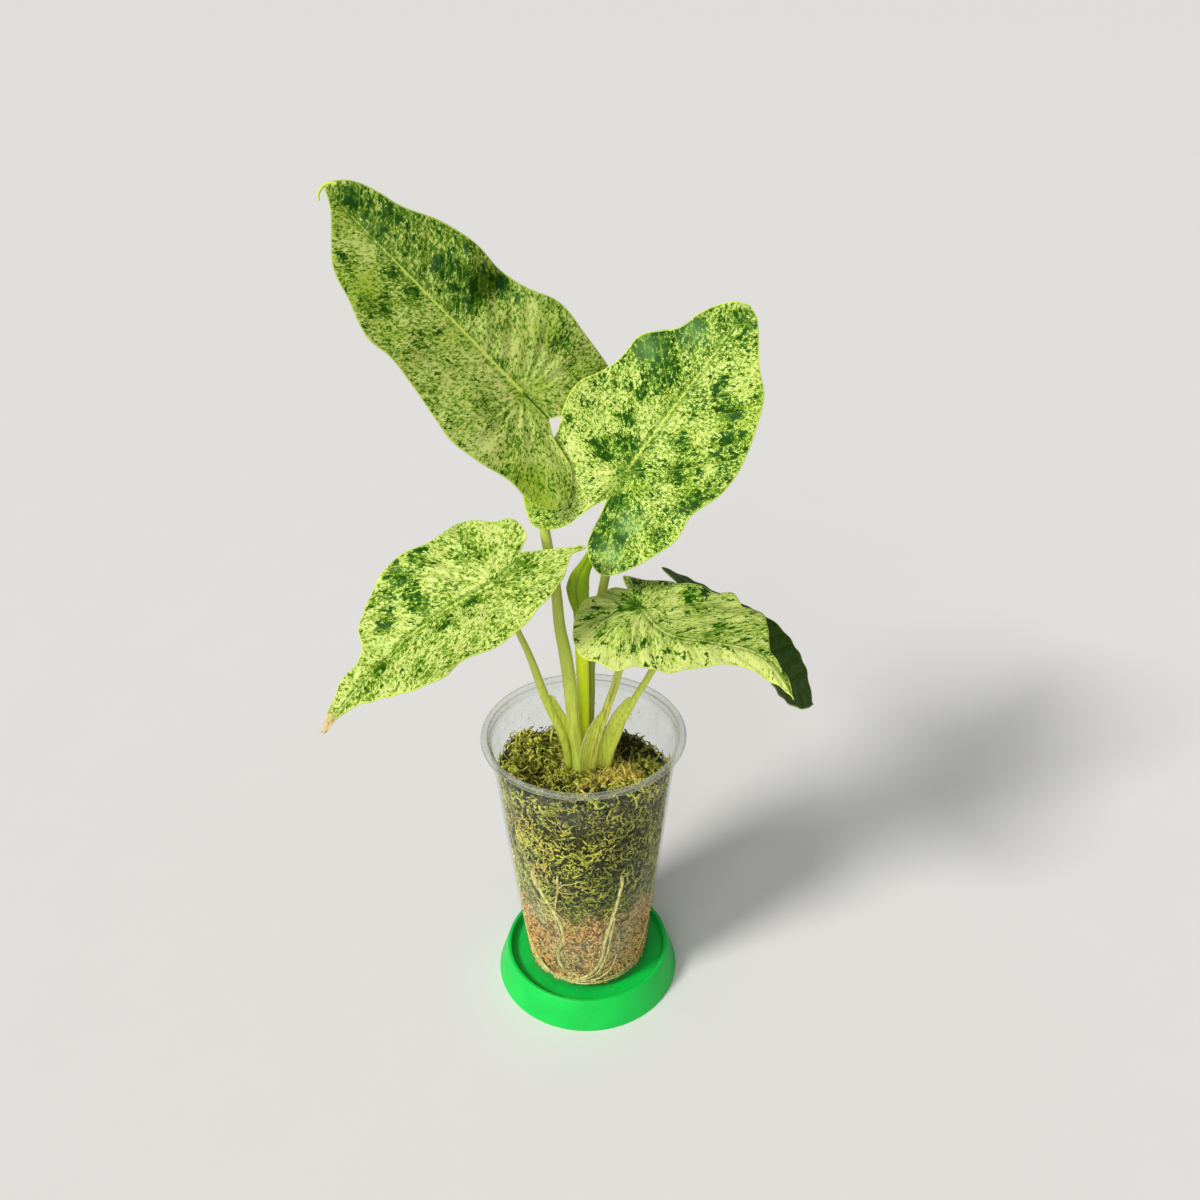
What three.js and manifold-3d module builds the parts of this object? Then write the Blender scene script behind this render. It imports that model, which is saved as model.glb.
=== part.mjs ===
// A potted variegated batik alocasia: five arrow-shaped leaves on their petioles and a young
// leaf that is still half rolled, growing from a corm in moss, in a clear cup on a green stand.
// Millimetres, +Z up. -Y is the front and +X the right of the plant as it is looked at.
// The sizes below are measured from the cup's axis at the table. The whole group is shifted
// at the end, so that its origin is the centre of the bottom of its box.

import * as THREE from 'three';
import { mergeVertices } from 'three/addons/utils/BufferGeometryUtils.js';
import Module from 'manifold-3d';

const wasm = await Module();
wasm.setup();

// Sides of the round pieces, and the gap between pieces that touch on the real plant
const ROUND_SIDES = 40;
const SEAT_GAP = 0.3;

// Stand: an upturned saucer with a raised lip, a shallow dish on top and a hollow underneath
const stand = {
  footRadius: 46,
  footInnerRadius: 43.7,
  hollowRadius: 38,
  lipRadius: 41,
  lipHeight: 15.5,
  lipWidth: 1.8,
  dishRadius: 38.4,
  dishHeight: 11.4,
  floorThickness: 1.8,
};

// Cup: a thin tapering wall with a rolled rim, on a foot ring that lifts its base
const cup = {
  footHeight: stand.dishHeight + SEAT_GAP,
  footInnerRadius: 28.5,
  footOuterRadius: 30.6,
  recessRadius: 27.5,
  recessHeight: 13.0,
  floorHeight: 13.8,
  wallStart: 12.3,
  wallStartRadius: 31.0,
  wallTop: 144.5,
  wallTopRadius: 43.2,
  wall: 0.8,
  rimRadius: 45.9,
  rimHeight: 148.3,
  rimThickness: 1.6,
};

// Moss: an aged tan layer under a living green one, with a sloping, tufted top.
// A tuft wave is [turns across, turns back, phase] over the tuft spacing.
const moss = {
  bottom: cup.floorHeight + SEAT_GAP,
  layerTop: 66,
  wallGap: 0.6,
  topHeight: 130.5,
  slopeBack: 0.2,
  slopeRight: 0.06,
  tuftHeight: 0.8,
  tuftSpacing: 13,
  tuftWaves: [[2.1, 1.3, 0], [-1.7, 3.1, 1]],
  ringShares: [0.25, 0.5, 0.75, 1],
  wellRadius: 14.3,
  wellBottom: 105.6,
};

// Corm: the short thick stem that carries the petioles and the roots
const corm = {
  top: 131,
  profile: [[0, 106], [7, 106.6], [11, 110], [13, 117], [13.6, 126], [12.4, 130.4], [0, 131]],
};

// Roots: each leaves the corm, reaches the cup's wall, and follows it down and around.
// All start through [radius, height] points of one plane, turned to the root's heading in
// degrees. A wall point is [degrees, height].
const root = {
  radius: 1.1,
  channelRadius: 1.5,
  channelEnd: 2,
  sides: 6,
  step: 7,
  wallInset: 1.4,
  start: [[8, 118], [19, 109], [28.5, 98]],
};
const roots = [
  { heading: -60,
    wall: [[-61, 84], [-66, 66], [-73, 48], [-77, 32], [-90, 21], [-122, 17.5], [-165, 16.8]] },
  { heading: -138,
    wall: [[-134, 84], [-124, 73], [-113, 60], [-110, 47], [-117, 35], [-114, 25], [-98, 21]] },
  { heading: 98,
    wall: [[95, 84], [82, 62], [60, 41], [22, 25], [-30, 18.8]] },
  { heading: 18,
    wall: [[12, 85], [-4, 66], [-18, 47], [-14, 30]] },
  { heading: 188,
    wall: [[187, 84], [196, 62], [172, 40], [140, 24], [100, 18.8]] },
];

// Blades
const blade = {
  thickness: 0.8,
  halfSamples: 22,
  rings: 4,
  foldRadius: 3,
  waveReach: 30,
  droopReach: 40,
};

// Petioles: each stands on the corm and ends under its blade
const petiole = {
  base: corm.top + SEAT_GAP,
  sides: 10,
  perStation: 2,
  seatGap: 0.35,
  bend: 4,
  wingWidest: 0.5,
  wingThinness: 10,
};

// Leaves. The junction is the point of the blade where its main veins meet, on the petiole.
// The midrib leaves it at a heading and a rise, in degrees, and the blade is rolled about it.
// The outline is two lists of [along, across] from the tip round the lobe to the notch.
// A side's fold is its slope at the junction and at the tip; its wave has a height, a pitch
// along the blade and a phase. The arch bends the tip down, the droop bends the lobes down,
// and the bow and the sway bend the midrib sideways once and twice.
// A petiole's stations are [x, y, height, radius], after its [x, y, radius] on the corm.
// Its sheath wing points to one side, in degrees. It starts with a reach at the base, has
// its full reach half way up, and rounds off to nothing at its top.
const leaves = {
  upper_left: {
    junction: [-21.6, 8, 311.2], heading: 169, rise: 46, roll: 66, length: 107,
    arch: 5.5, archPower: 2, droop: 0, bow: 0, sway: 0, notch: [-15, 0],
    right: { fold: [-0.18, 0.2], wave: 3, pitch: 60, phase: 0.1 },
    left: { fold: [0.45, 0.15], wave: 2, pitch: 70, phase: 0.4 },
    rightEdge: [[99, 11], [91, 14], [83, 16], [68, 23], [53, 27], [39, 27], [27, 30], [15, 35],
      [-1, 34], [-18, 32], [-33, 28], [-41, 22], [-36, 17], [-21, 9]],
    leftEdge: [[100, -4], [92, -12], [84, -19], [72, -23], [57, -28], [46, -27], [31, -29],
      [15, -32], [8, -33], [-6, -31], [-20, -28], [-34, -28], [-43, -22], [-43, -17],
      [-36, -8], [-22, -4]],
    stalk: {
      foot: [-2, -6.5, 3],
      stations: [[-2.9, -6.8, 147, 3], [-4, -7, 156, 3], [-4.5, -7, 165, 3.05],
        [-5.1, -7, 175, 3.05], [-7.2, -5, 195, 2.9], [-9.3, -3.5, 208, 2.5],
        [-10.8, -1, 227.5, 2.3], [-14.1, 3, 247.2, 2.25], [-17.9, 7, 277.7, 2],
        [-20.6, 11, 298.1, 1.7]],
      wing: { side: 60, base: 1, reach: 1.6, top: 180 } },
  },
  upper_right: {
    junction: [19.5, -3, 281], heading: 16, rise: 52, roll: -55, length: 81,
    arch: 2, archPower: 2, droop: 0, bow: 0, sway: 0, notch: [-14, 0],
    right: { fold: [0.12, 0.1], wave: 2, pitch: 55, phase: 0.3 },
    left: { fold: [0.1, 0.1], wave: 2, pitch: 50, phase: 0 },
    rightEdge: [[78, 6], [71, 12], [64, 18], [57, 26], [46, 31], [37, 34], [28, 36], [16, 36],
      [3, 32], [-9, 33], [-19, 30], [-29, 26], [-39, 19], [-40, 14], [-34, 5], [-21, 2]],
    leftEdge: [[79, -5], [74, -10], [67, -14], [58, -17], [53, -22], [46, -28], [35, -29],
      [26, -32], [18, -36], [9, -36], [-6, -32], [-18, -33], [-28, -32], [-38, -23],
      [-41, -17], [-35, -8], [-21, -3]],
    stalk: {
      foot: [2.7, 5.6, 2.3],
      stations: [[2.7, 5.6, 150, 2.3], [3.3, 5.5, 168, 2.3], [3.6, 5.3, 182, 2.2],
        [6.2, 4, 204, 2.1], [10.1, 2, 226.6, 2], [13.6, -0.5, 248.6, 1.9],
        [16.9, -1, 269, 1.7]],
      wing: { side: 90, base: 1, reach: 1, top: 165 } },
  },
  lower_left: {
    junction: [-35, -28, 243.8], heading: -147, rise: -25, roll: 9, length: 88,
    arch: 6, archPower: 2, droop: 0, bow: 7.5, sway: 0, notch: [-17, 4],
    right: { fold: [0.2, 0.2], wave: 2, pitch: 55, phase: 0 },
    left: { fold: [0.2, 0.2], wave: 2, pitch: 60, phase: 0.5 },
    rightEdge: [[85, 3], [79, 5], [69, 8], [61, 8], [56, 10], [52, 18], [42, 26], [28, 33],
      [10, 32], [-8, 35], [-12, 33], [-20, 23], [-25, 19], [-26, 14], [-24, 7.5], [-20, 5.3]],
    leftEdge: [[84, -1], [75, -4], [70, -8], [60, -19], [51, -29], [41, -36], [31, -33],
      [14, -34], [-2, -31], [-11, -30], [-19, -27], [-25, -21], [-31, -17], [-36, -19],
      [-36, -16], [-31, -11], [-25, -4], [-19, 3]],
    stalk: {
      foot: [-6.9, -2.4, 2],
      stations: [[-7.4, -2.8, 137, 2], [-8.7, -4, 146.7, 2], [-11.2, -5, 156.2, 2.05],
        [-14.2, -6.4, 165.5, 2], [-17.2, -9, 176.9, 2], [-19.8, -12, 189.6, 1.8],
        [-22.8, -15, 202.7, 1.5], [-25.8, -19, 214.3, 1.35], [-29.6, -24, 229.5, 1.3]],
      wing: { side: 15, base: 0.3, reach: 3, top: 175 } },
  },
  lower_right: {
    junction: [25.9, -24, 229.4], heading: -34, rise: -4, roll: 0, length: 71,
    arch: 14, archPower: 4, droop: 2, bow: 2.5, sway: 7.5, notch: [-13, -9],
    right: { fold: [-0.25, -0.7], wave: 1, pitch: 50, phase: 0 },
    left: { fold: [0.05, 0.1], wave: 1, pitch: 50, phase: 0.2 },
    rightEdge: [[64, 4], [57, 7], [47, 8], [37, 12], [28, 17], [17, 20], [11, 28], [5, 32],
      [-3, 34], [-10, 32], [-15, 28], [-20, 21], [-23, 14], [-24, 7], [-21, 2], [-18, -6]],
    leftEdge: [[66, -2], [59, -3], [54, -5], [48, -15], [43, -23], [38, -28], [33, -31],
      [28, -38], [24, -41], [18, -36], [12, -33], [5, -27], [-4, -21], [-10, -19],
      [-15, -18], [-20, -16], [-17, -12.3]],
    stalk: {
      foot: [3.3, -8.3, 2.1],
      stations: [[4.3, -8.4, 139, 2], [5.4, -8.6, 146.5, 1.9], [7.2, -9.2, 154.7, 1.9],
        [9.7, -10, 164.8, 1.9], [11.8, -11, 173, 1.85], [14.2, -12.5, 181.9, 1.8],
        [16.3, -15, 192.8, 1.7], [22, -21, 214.5, 1.4]],
      wing: { side: 213, base: 5.6, reach: 7.6, top: 170 } },
  },
  rear: {
    junction: [59.9, 14, 201.6], heading: 1, rise: -36.7, roll: -15.5, length: 70.6,
    arch: 12.4, archPower: 2, droop: 0, bow: 0, sway: 0, notch: [-9, -1],
    right: { fold: [0.74, -0.28], wave: 0, pitch: 50, phase: 0 },
    left: { fold: [-0.33, 0.39], wave: 0, pitch: 50, phase: 0 },
    rightEdge: [[66, 6], [59, 11], [49, 16], [37, 21], [20, 25], [0, 25], [-14, 22],
      [-25, 16], [-30, 10], [-27, 6], [-17, 2]],
    leftEdge: [[66, -5], [59, -12], [49, -18], [37, -24], [20, -27], [0, -26], [-14, -22],
      [-25, -17.5], [-29, -15], [-23, -11.5], [-14, -5]],
    stalk: {
      foot: [10.6, -5, 1.9],
      stations: [[12.7, -4, 141, 1.85], [15.4, -3, 148, 1.8], [17.8, -2, 155.4, 1.7],
        [21.2, 0, 161.6, 1.6], [24.2, 2, 167, 1.6], [28.3, 4, 173, 1.6],
        [31.8, 6, 178.5, 1.55], [40.6, 10, 189, 1.45], [50, 14, 196, 1.4]],
      wing: { side: 185, base: 3.4, reach: 4.8, top: 166 } },
  },
};

// Young leaf: a stalk that opens into a half-rolled blade, with its edge out to the left.
// Its stations are [x, y, height, half width, half depth].
const youngLeaf = {
  sides: 12,
  perStation: 2,
  stations: [[0.3, -0.6, petiole.base, 2.3, 2.2], [0.3, -0.6, 146, 2.3, 2.2],
    [0.4, -0.3, 163, 2.5, 2.3], [0.1, 0, 185, 2.9, 2.5], [0, 0.4, 205, 3.2, 2.5],
    [-0.1, 0.7, 213, 3.3, 2.4], [-0.9, 1, 219.7, 4.5, 2.2], [-1.2, 1, 225, 5, 2.1],
    [-0.2, 1, 230.3, 4.2, 2], [1.7, 1.2, 234.5, 3.1, 1.8], [4.2, 1.6, 239.5, 2.4, 1.5],
    [6.2, 2, 245, 1.5, 1.1], [7.6, 2.5, 250, 0.6, 0.5]],
};

const colours = {
  green_stand: 0x12c250,
  clear_cup: 0xd8dcd6,
  moss_lower: 0xb98a52,
  moss_upper: 0x76801f,
  corm_and_roots: 0xd6b878,
  blade: 0xb9d46e,
  bladeShaded: 0x5f8c2c,
  petiole: 0xb7c862,
  youngLeaf: 0x8f9a22,
};

const degrees = THREE.MathUtils.degToRad;
const vector = (point) => new THREE.Vector3(...point);
const smooth = (x) => THREE.MathUtils.smoothstep(x, 0, 1);

// Closed body from a list of points and a list of triangles
function body(points, triangles) {
  const geometry = new THREE.BufferGeometry();
  const values = points.flatMap((point) => point.toArray());
  geometry.setAttribute('position', new THREE.Float32BufferAttribute(values, 3));
  geometry.setIndex(triangles.flat());
  return geometry;
}

// Body of revolution about the Z axis, from a profile of [radius, height] points
function turned(profile) {
  const points = profile.map(([radius, height]) => new THREE.Vector2(radius, height));
  return new THREE.LatheGeometry(points, ROUND_SIDES).rotateX(Math.PI / 2);
}

// Geometry to manifold-3d solid and back
function toSolid(geometry) {
  const bare = geometry.clone();
  bare.deleteAttribute('normal');
  bare.deleteAttribute('uv');
  const merged = mergeVertices(bare, 1e-4);
  const vertProperties = new Float32Array(merged.attributes.position.array);
  const triVerts = new Uint32Array(merged.index.array);
  return new wasm.Manifold(new wasm.Mesh({ numProp: 3, vertProperties, triVerts }));
}

function fromSolid(solid) {
  const { vertProperties, triVerts } = solid.getMesh();
  const geometry = new THREE.BufferGeometry();
  geometry.setAttribute('position', new THREE.BufferAttribute(vertProperties, 3));
  geometry.setIndex(new THREE.BufferAttribute(triVerts, 1));
  return geometry;
}

const joined = (solids) => solids.reduce((sum, solid) => sum.add(solid));
const cut = (solid, tools) => tools.reduce((rest, tool) => rest.subtract(tool), solid);

// Loft through closed rings of equal length, each counter-clockwise about the path
function loft(rings) {
  const sides = rings[0].length;
  const last = rings.length - 1;
  const points = rings.flat();
  const triangles = [];
  for (let ring = 0; ring < last; ring += 1) {
    for (let side = 0; side < sides; side += 1) {
      const a = ring * sides + side;
      const b = ring * sides + (side + 1) % sides;
      triangles.push([a, b, b + sides], [a, b + sides, a + sides]);
    }
  }
  for (const [ring, turn] of [[0, false], [last, true]]) {
    const centre = points.length;
    const middle = new THREE.Vector3();
    rings[ring].forEach((point) => middle.addScaledVector(point, 1 / sides));
    points.push(middle);
    for (let side = 0; side < sides; side += 1) {
      const a = ring * sides + side;
      const b = ring * sides + (side + 1) % sides;
      triangles.push(turn ? [a, b, centre] : [b, a, centre]);
    }
  }
  return body(points, triangles);
}

// Loft along stations of [x, y, z, ...sizes]. Each ring is square to the curve through them.
// The section's first axis stays towards +X, and its second one completes the ring's plane.
function stationLoft(stations, perStation, sides, firstAngle, section) {
  const centres = stations.map(([x, y, z]) => new THREE.Vector3(x, y, z));
  const path = new THREE.CatmullRomCurve3(centres, false, 'centripetal');
  const last = stations.length - 1;
  const steps = last * perStation;
  const rings = [];
  for (let step = 0; step <= steps; step += 1) {
    const centre = path.getPoint(step / steps);
    const tangent = path.getTangent(step / steps);
    const station = Math.min(Math.floor(step / perStation), last - 1);
    const share = step / perStation - station;
    const sizes = stations[station].slice(3)
      .map((size, index) => THREE.MathUtils.lerp(size, stations[station + 1][3 + index], share));
    const first = new THREE.Vector3(1, 0, 0).projectOnPlane(tangent).normalize();
    const second = tangent.clone().cross(first);
    const ring = [];
    for (let side = 0; side < sides; side += 1) {
      const angle = firstAngle + side * 2 * Math.PI / sides;
      const [x, y] = section(angle, sizes, centre);
      ring.push(centre.clone().addScaledVector(first, x).addScaledVector(second, y));
    }
    rings.push(ring);
  }
  return loft(rings);
}

// Stand
function standGeometry() {
  const under = stand.dishHeight - stand.floorThickness;
  return turned([
    [0, under],
    [stand.hollowRadius, under],
    [stand.footInnerRadius, 0],
    [stand.footRadius, 0],
    [stand.lipRadius, stand.lipHeight],
    [stand.lipRadius - stand.lipWidth, stand.lipHeight],
    [stand.dishRadius, stand.dishHeight],
    [0, stand.dishHeight],
  ]);
}

// Cup
const cupSlope = (cup.wallTopRadius - cup.wallStartRadius) / (cup.wallTop - cup.wallStart);
const cupInside = (height) => cup.wallStartRadius + cupSlope * (height - cup.wallStart) - cup.wall;

function cupGeometry() {
  const bead = [];
  for (const angle of [-120, -60, 0, 60, 120, 180]) {
    bead.push([
      cup.rimRadius + cup.rimThickness * Math.cos(degrees(angle)),
      cup.rimHeight + cup.rimThickness * Math.sin(degrees(angle)),
    ]);
  }
  return turned([
    [0, cup.recessHeight],
    [cup.recessRadius, cup.recessHeight],
    [cup.footInnerRadius, cup.footHeight],
    [cup.footOuterRadius, cup.footHeight],
    [cup.wallStartRadius, cup.wallStart],
    [cup.wallTopRadius, cup.wallTop],
    ...bead,
    [cup.wallTopRadius - cup.wall, cup.wallTop],
    [cupInside(cup.floorHeight), cup.floorHeight],
    [0, cup.floorHeight],
  ]);
}

// Roots, as curves that keep to the wall once they have reached it
class RootPath extends THREE.Curve {
  constructor({ heading, wall }) {
    super();
    const start = root.start.map(([radius, z]) => [radius, heading, z]);
    const onWall = wall.map(([angle, z]) => [cupInside(z) - root.wallInset, angle, z]);
    this.polar = new THREE.CatmullRomCurve3([...start, ...onWall].map(vector), false, 'centripetal');
  }

  getPoint(share, target = new THREE.Vector3()) {
    const { x: reach, y: angle, z } = this.polar.getPoint(share);
    const radius = Math.min(reach, cupInside(z) - root.wallInset);
    return target.set(radius * Math.cos(degrees(angle)), radius * Math.sin(degrees(angle)), z);
  }
}

function rootTube(curve, radius) {
  const corners = [];
  for (let side = 0; side < root.sides; side += 1) {
    const angle = side * 2 * Math.PI / root.sides;
    corners.push(new THREE.Vector2(radius * Math.cos(angle), radius * Math.sin(angle)));
  }
  const section = new THREE.Shape(corners);
  const steps = Math.round(curve.getLength() / root.step);
  return new THREE.ExtrudeGeometry(section, { steps, bevelEnabled: false, extrudePath: curve });
}

// Moss top: it slopes to the back and the right, with low tufts
function mossTop(x, y) {
  let height = moss.topHeight - moss.slopeBack * y - moss.slopeRight * x;
  for (const [across, back, phase] of moss.tuftWaves) {
    height += moss.tuftHeight * Math.sin((across * x + back * y) / moss.tuftSpacing + phase);
  }
  return height;
}

function mossLayer(bottom, top) {
  const radiusAt = (height) => cupInside(height) - moss.wallGap;
  const ringPoints = (share, height) => {
    const ring = [];
    for (let side = 0; side < ROUND_SIDES; side += 1) {
      const angle = side * 2 * Math.PI / ROUND_SIDES;
      const direction = [Math.sin(angle), -Math.cos(angle)];
      const guess = height(...direction.map((part) => part * share * radiusAt(moss.topHeight)));
      const [x, y] = direction.map((part) => part * share * radiusAt(guess));
      ring.push(new THREE.Vector3(x, y, height(x, y)));
    }
    return ring;
  };
  const floor = () => bottom;
  return loft([
    ...moss.ringShares.map((share) => ringPoints(share, floor)),
    ...moss.ringShares.toReversed().map((share) => ringPoints(share, top)),
  ]);
}

// Blade: the frame at the junction, then the height of the surface over the flat blade
function bladeFrame({ junction, heading, rise, roll }) {
  const [turn, tilt, spin] = [heading, rise, roll].map(degrees);
  const midrib = new THREE.Vector3(
    Math.cos(tilt) * Math.cos(turn),
    Math.cos(tilt) * Math.sin(turn),
    Math.sin(tilt),
  );
  const level = new THREE.Vector3(Math.sin(turn), -Math.cos(turn), 0);
  const up = level.clone().cross(midrib);
  const across = level.clone().multiplyScalar(Math.cos(spin)).addScaledVector(up, Math.sin(spin));
  const normal = up.multiplyScalar(Math.cos(spin)).addScaledVector(level, -Math.sin(spin));
  return { origin: vector(junction), midrib, across, normal };
}

function bladeHeight(leaf, a, t) {
  const { fold, wave, pitch, phase } = t < 0 ? leaf.left : leaf.right;
  const slope = THREE.MathUtils.lerp(fold[0], fold[1], smooth(a / leaf.length));
  const folded = slope * (Math.hypot(t, blade.foldRadius) - blade.foldRadius);
  const waved = wave * Math.sin(2 * Math.PI * (a / pitch + phase)) * (t / blade.waveReach) ** 2;
  const arched = leaf.arch * Math.max(a / leaf.length, 0) ** leaf.archPower;
  const drooped = leaf.droop * (Math.max(-a, 0) / blade.droopReach) ** 2;
  return folded + waved - arched - drooped;
}

function bladePoint(leaf, frame, a, t) {
  const share = THREE.MathUtils.clamp(a / leaf.length, 0, 1);
  const bend = leaf.bow * Math.sin(Math.PI * share) + leaf.sway * Math.sin(2 * Math.PI * share);
  return frame.origin.clone()
    .addScaledVector(frame.midrib, a)
    .addScaledVector(frame.across, t + bend)
    .addScaledVector(frame.normal, bladeHeight(leaf, a, t));
}

function bladeNormal(leaf, frame, a, t) {
  const near = 0.2;
  const ahead = bladePoint(leaf, frame, a + near, t).sub(bladePoint(leaf, frame, a - near, t));
  const aside = bladePoint(leaf, frame, a, t + near).sub(bladePoint(leaf, frame, a, t - near));
  return aside.cross(ahead).normalize();
}

// Outline samples, from the tip down the right side to the notch and back up the left side
function bladeOutline(leaf) {
  const half = (edge) => {
    const corners = [[leaf.length, 0], ...edge, leaf.notch];
    const points = corners.map(([a, t]) => new THREE.Vector3(a, t, 0));
    const curve = new THREE.CatmullRomCurve3(points, false, 'centripetal');
    return curve.getSpacedPoints(blade.halfSamples);
  };
  const right = half(leaf.rightEdge);
  const left = half(leaf.leftEdge);
  return [...right, ...left.slice(1, -1).reverse()];
}

function bladeGeometry(leaf) {
  const frame = bladeFrame(leaf);
  const outline = bladeOutline(leaf);
  const count = outline.length;
  const upper = [bladePoint(leaf, frame, 0, 0)];
  const normals = [bladeNormal(leaf, frame, 0, 0)];
  for (let ring = 1; ring <= blade.rings; ring += 1) {
    const share = ring / blade.rings;
    for (const { x: a, y: t } of outline) {
      upper.push(bladePoint(leaf, frame, a * share, t * share));
      normals.push(bladeNormal(leaf, frame, a * share, t * share));
    }
  }
  const lower = upper.map((p, index) => p.clone().addScaledVector(normals[index], -blade.thickness));
  const face = [];
  for (let side = 0; side < count; side += 1) {
    const next = (side + 1) % count;
    face.push([0, 1 + next, 1 + side]);
    for (let ring = 0; ring < blade.rings - 1; ring += 1) {
      const [a, b] = [1 + ring * count + side, 1 + ring * count + next];
      face.push([a, b, b + count], [a, b + count, a + count]);
    }
  }
  const total = upper.length;
  const back = face.map(([a, b, c]) => [total + a, total + c, total + b]);
  const edge = 1 + (blade.rings - 1) * count;
  const rim = [];
  for (let side = 0; side < count; side += 1) {
    const [a, b] = [edge + side, edge + (side + 1) % count];
    rim.push([a, b, total + b], [a, total + b, total + a]);
  }
  return body([...upper, ...lower], [...face, ...back, ...rim]);
}

// Sheath wing: how far it stands out of the petiole at a height
function wingReach({ base, reach, top }, height) {
  const rise = (height - petiole.base) / (top - petiole.base);
  if (rise >= 1) {
    return 0;
  }
  const widest = petiole.wingWidest;
  if (rise < widest) {
    return THREE.MathUtils.lerp(base, reach, smooth(rise / widest));
  }
  return reach * Math.sqrt(1 - ((rise - widest) / (1 - widest)) ** 2);
}

// Petiole: it stands on the corm and ends under the junction, square to the blade
function petioleGeometry(leaf) {
  const { foot, stations, wing } = leaf.stalk;
  const { origin, normal } = bladeFrame(leaf);
  const below = (distance) => origin.clone().addScaledVector(normal, -distance).toArray();
  const endRadius = stations.at(-1)[3];
  const full = [
    [foot[0], foot[1], petiole.base, foot[2]],
    ...stations,
    [...below(petiole.bend), endRadius],
    [...below(blade.thickness + petiole.seatGap), endRadius],
  ];
  const side = degrees(wing.side);
  const section = (angle, [thick], centre) => {
    const tab = Math.max(0, Math.cos(angle - side)) ** petiole.wingThinness;
    const distance = thick + wingReach(wing, centre.z) * tab;
    return [distance * Math.cos(angle), distance * Math.sin(angle)];
  };
  return stationLoft(full, petiole.perStation, petiole.sides, side, section);
}

function youngLeafGeometry() {
  const section = (angle, [halfWidth, halfDepth]) => [
    halfWidth * Math.cos(angle),
    halfDepth * Math.sin(angle),
  ];
  return stationLoft(youngLeaf.stations, youngLeaf.perStation, youngLeaf.sides, 0, section);
}

// Corm with its roots, and the moss with the room that they take
const rootPaths = roots.map((entry) => new RootPath(entry));
const rootSolids = rootPaths.map((path) => toSolid(rootTube(path, root.radius)));
const cormAndRoots = joined([toSolid(turned(corm.profile)), ...rootSolids]);

const channels = rootPaths.map((path) => {
  const end = new THREE.IcosahedronGeometry(root.channelEnd).translate(...path.getPoint(1).toArray());
  return toSolid(rootTube(path, root.channelRadius)).add(toSolid(end));
});
const well = toSolid(turned([
  [0, moss.wellBottom],
  [moss.wellRadius, moss.wellBottom],
  [moss.wellRadius, cup.wallTop],
  [0, cup.wallTop],
]));
const lowerMoss = toSolid(mossLayer(moss.bottom, () => moss.layerTop));
const upperMoss = toSolid(mossLayer(moss.layerTop + SEAT_GAP, mossTop));

// The assembly
const plant = new THREE.Group();

function add(name, geometry, colour, roughness) {
  const material = new THREE.MeshStandardMaterial({ color: colour, roughness, metalness: 0 });
  const mesh = new THREE.Mesh(geometry, material);
  mesh.name = name;
  plant.add(mesh);
  return mesh;
}

add('green_stand', standGeometry(), colours.green_stand, 0.45);
const cupMesh = add('clear_cup', cupGeometry(), colours.clear_cup, 0.1);
cupMesh.material.transparent = true;
cupMesh.material.opacity = 0.35;
add('moss_lower', fromSolid(cut(lowerMoss, channels)), colours.moss_lower, 1);
add('moss_upper', fromSolid(cut(upperMoss, [...channels, well])), colours.moss_upper, 1);
add('corm_and_roots', fromSolid(cormAndRoots), colours.corm_and_roots, 0.7);
for (const [name, leaf] of Object.entries(leaves)) {
  const colour = name === 'rear' ? colours.bladeShaded : colours.blade;
  add(`blade_${name}`, bladeGeometry(leaf), colour, 0.5);
  add(`petiole_${name}`, petioleGeometry(leaf), colours.petiole, 0.45);
}
add('young_leaf', youngLeafGeometry(), colours.youngLeaf, 0.45);

const box = new THREE.Box3().setFromObject(plant);
const centre = box.getCenter(new THREE.Vector3());
plant.position.set(-centre.x, -centre.y, -box.min.z);

const group = new THREE.Group();
group.add(plant);

export default group;
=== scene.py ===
# Looks of a potted variegated batik alocasia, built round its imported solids.
# Lengths in the tables below are millimetres from the cup's axis at the table, +Z up. The
# front of the plant is -Y and its right is +X.
import math

import bpy
import numpy as np
from bpy.props import FloatProperty, FloatVectorProperty, IntProperty, PointerProperty
from bpy.types import Operator, Panel, PropertyGroup
from mathutils import Matrix, Vector, noise


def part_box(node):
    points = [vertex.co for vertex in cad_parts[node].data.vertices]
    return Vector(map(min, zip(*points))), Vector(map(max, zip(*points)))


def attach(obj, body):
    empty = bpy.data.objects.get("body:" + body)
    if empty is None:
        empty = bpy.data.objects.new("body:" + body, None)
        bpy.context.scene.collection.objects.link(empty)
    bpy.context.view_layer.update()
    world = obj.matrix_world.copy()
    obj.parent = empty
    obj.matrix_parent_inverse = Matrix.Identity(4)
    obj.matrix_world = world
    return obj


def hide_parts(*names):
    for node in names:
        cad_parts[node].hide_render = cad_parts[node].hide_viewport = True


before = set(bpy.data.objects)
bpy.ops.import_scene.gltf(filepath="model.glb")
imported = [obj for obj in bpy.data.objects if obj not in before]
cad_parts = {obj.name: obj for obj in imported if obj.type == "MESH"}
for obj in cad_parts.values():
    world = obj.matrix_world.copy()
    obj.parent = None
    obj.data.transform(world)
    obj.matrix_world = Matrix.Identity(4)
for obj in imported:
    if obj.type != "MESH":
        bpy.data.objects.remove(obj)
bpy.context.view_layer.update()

bl_info = {
    "name": "Potted variegated batik alocasia",
    "version": (1, 0, 0),
    "blender": (4, 5, 0),
    "location": "View3D > Sidebar > Alocasia",
    "description": "Dresses the packed plant with leaves, stalks, moss, roots, cup and stand",
    "category": "Add Mesh",
}

MM = 0.001
BODY = "root"

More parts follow.
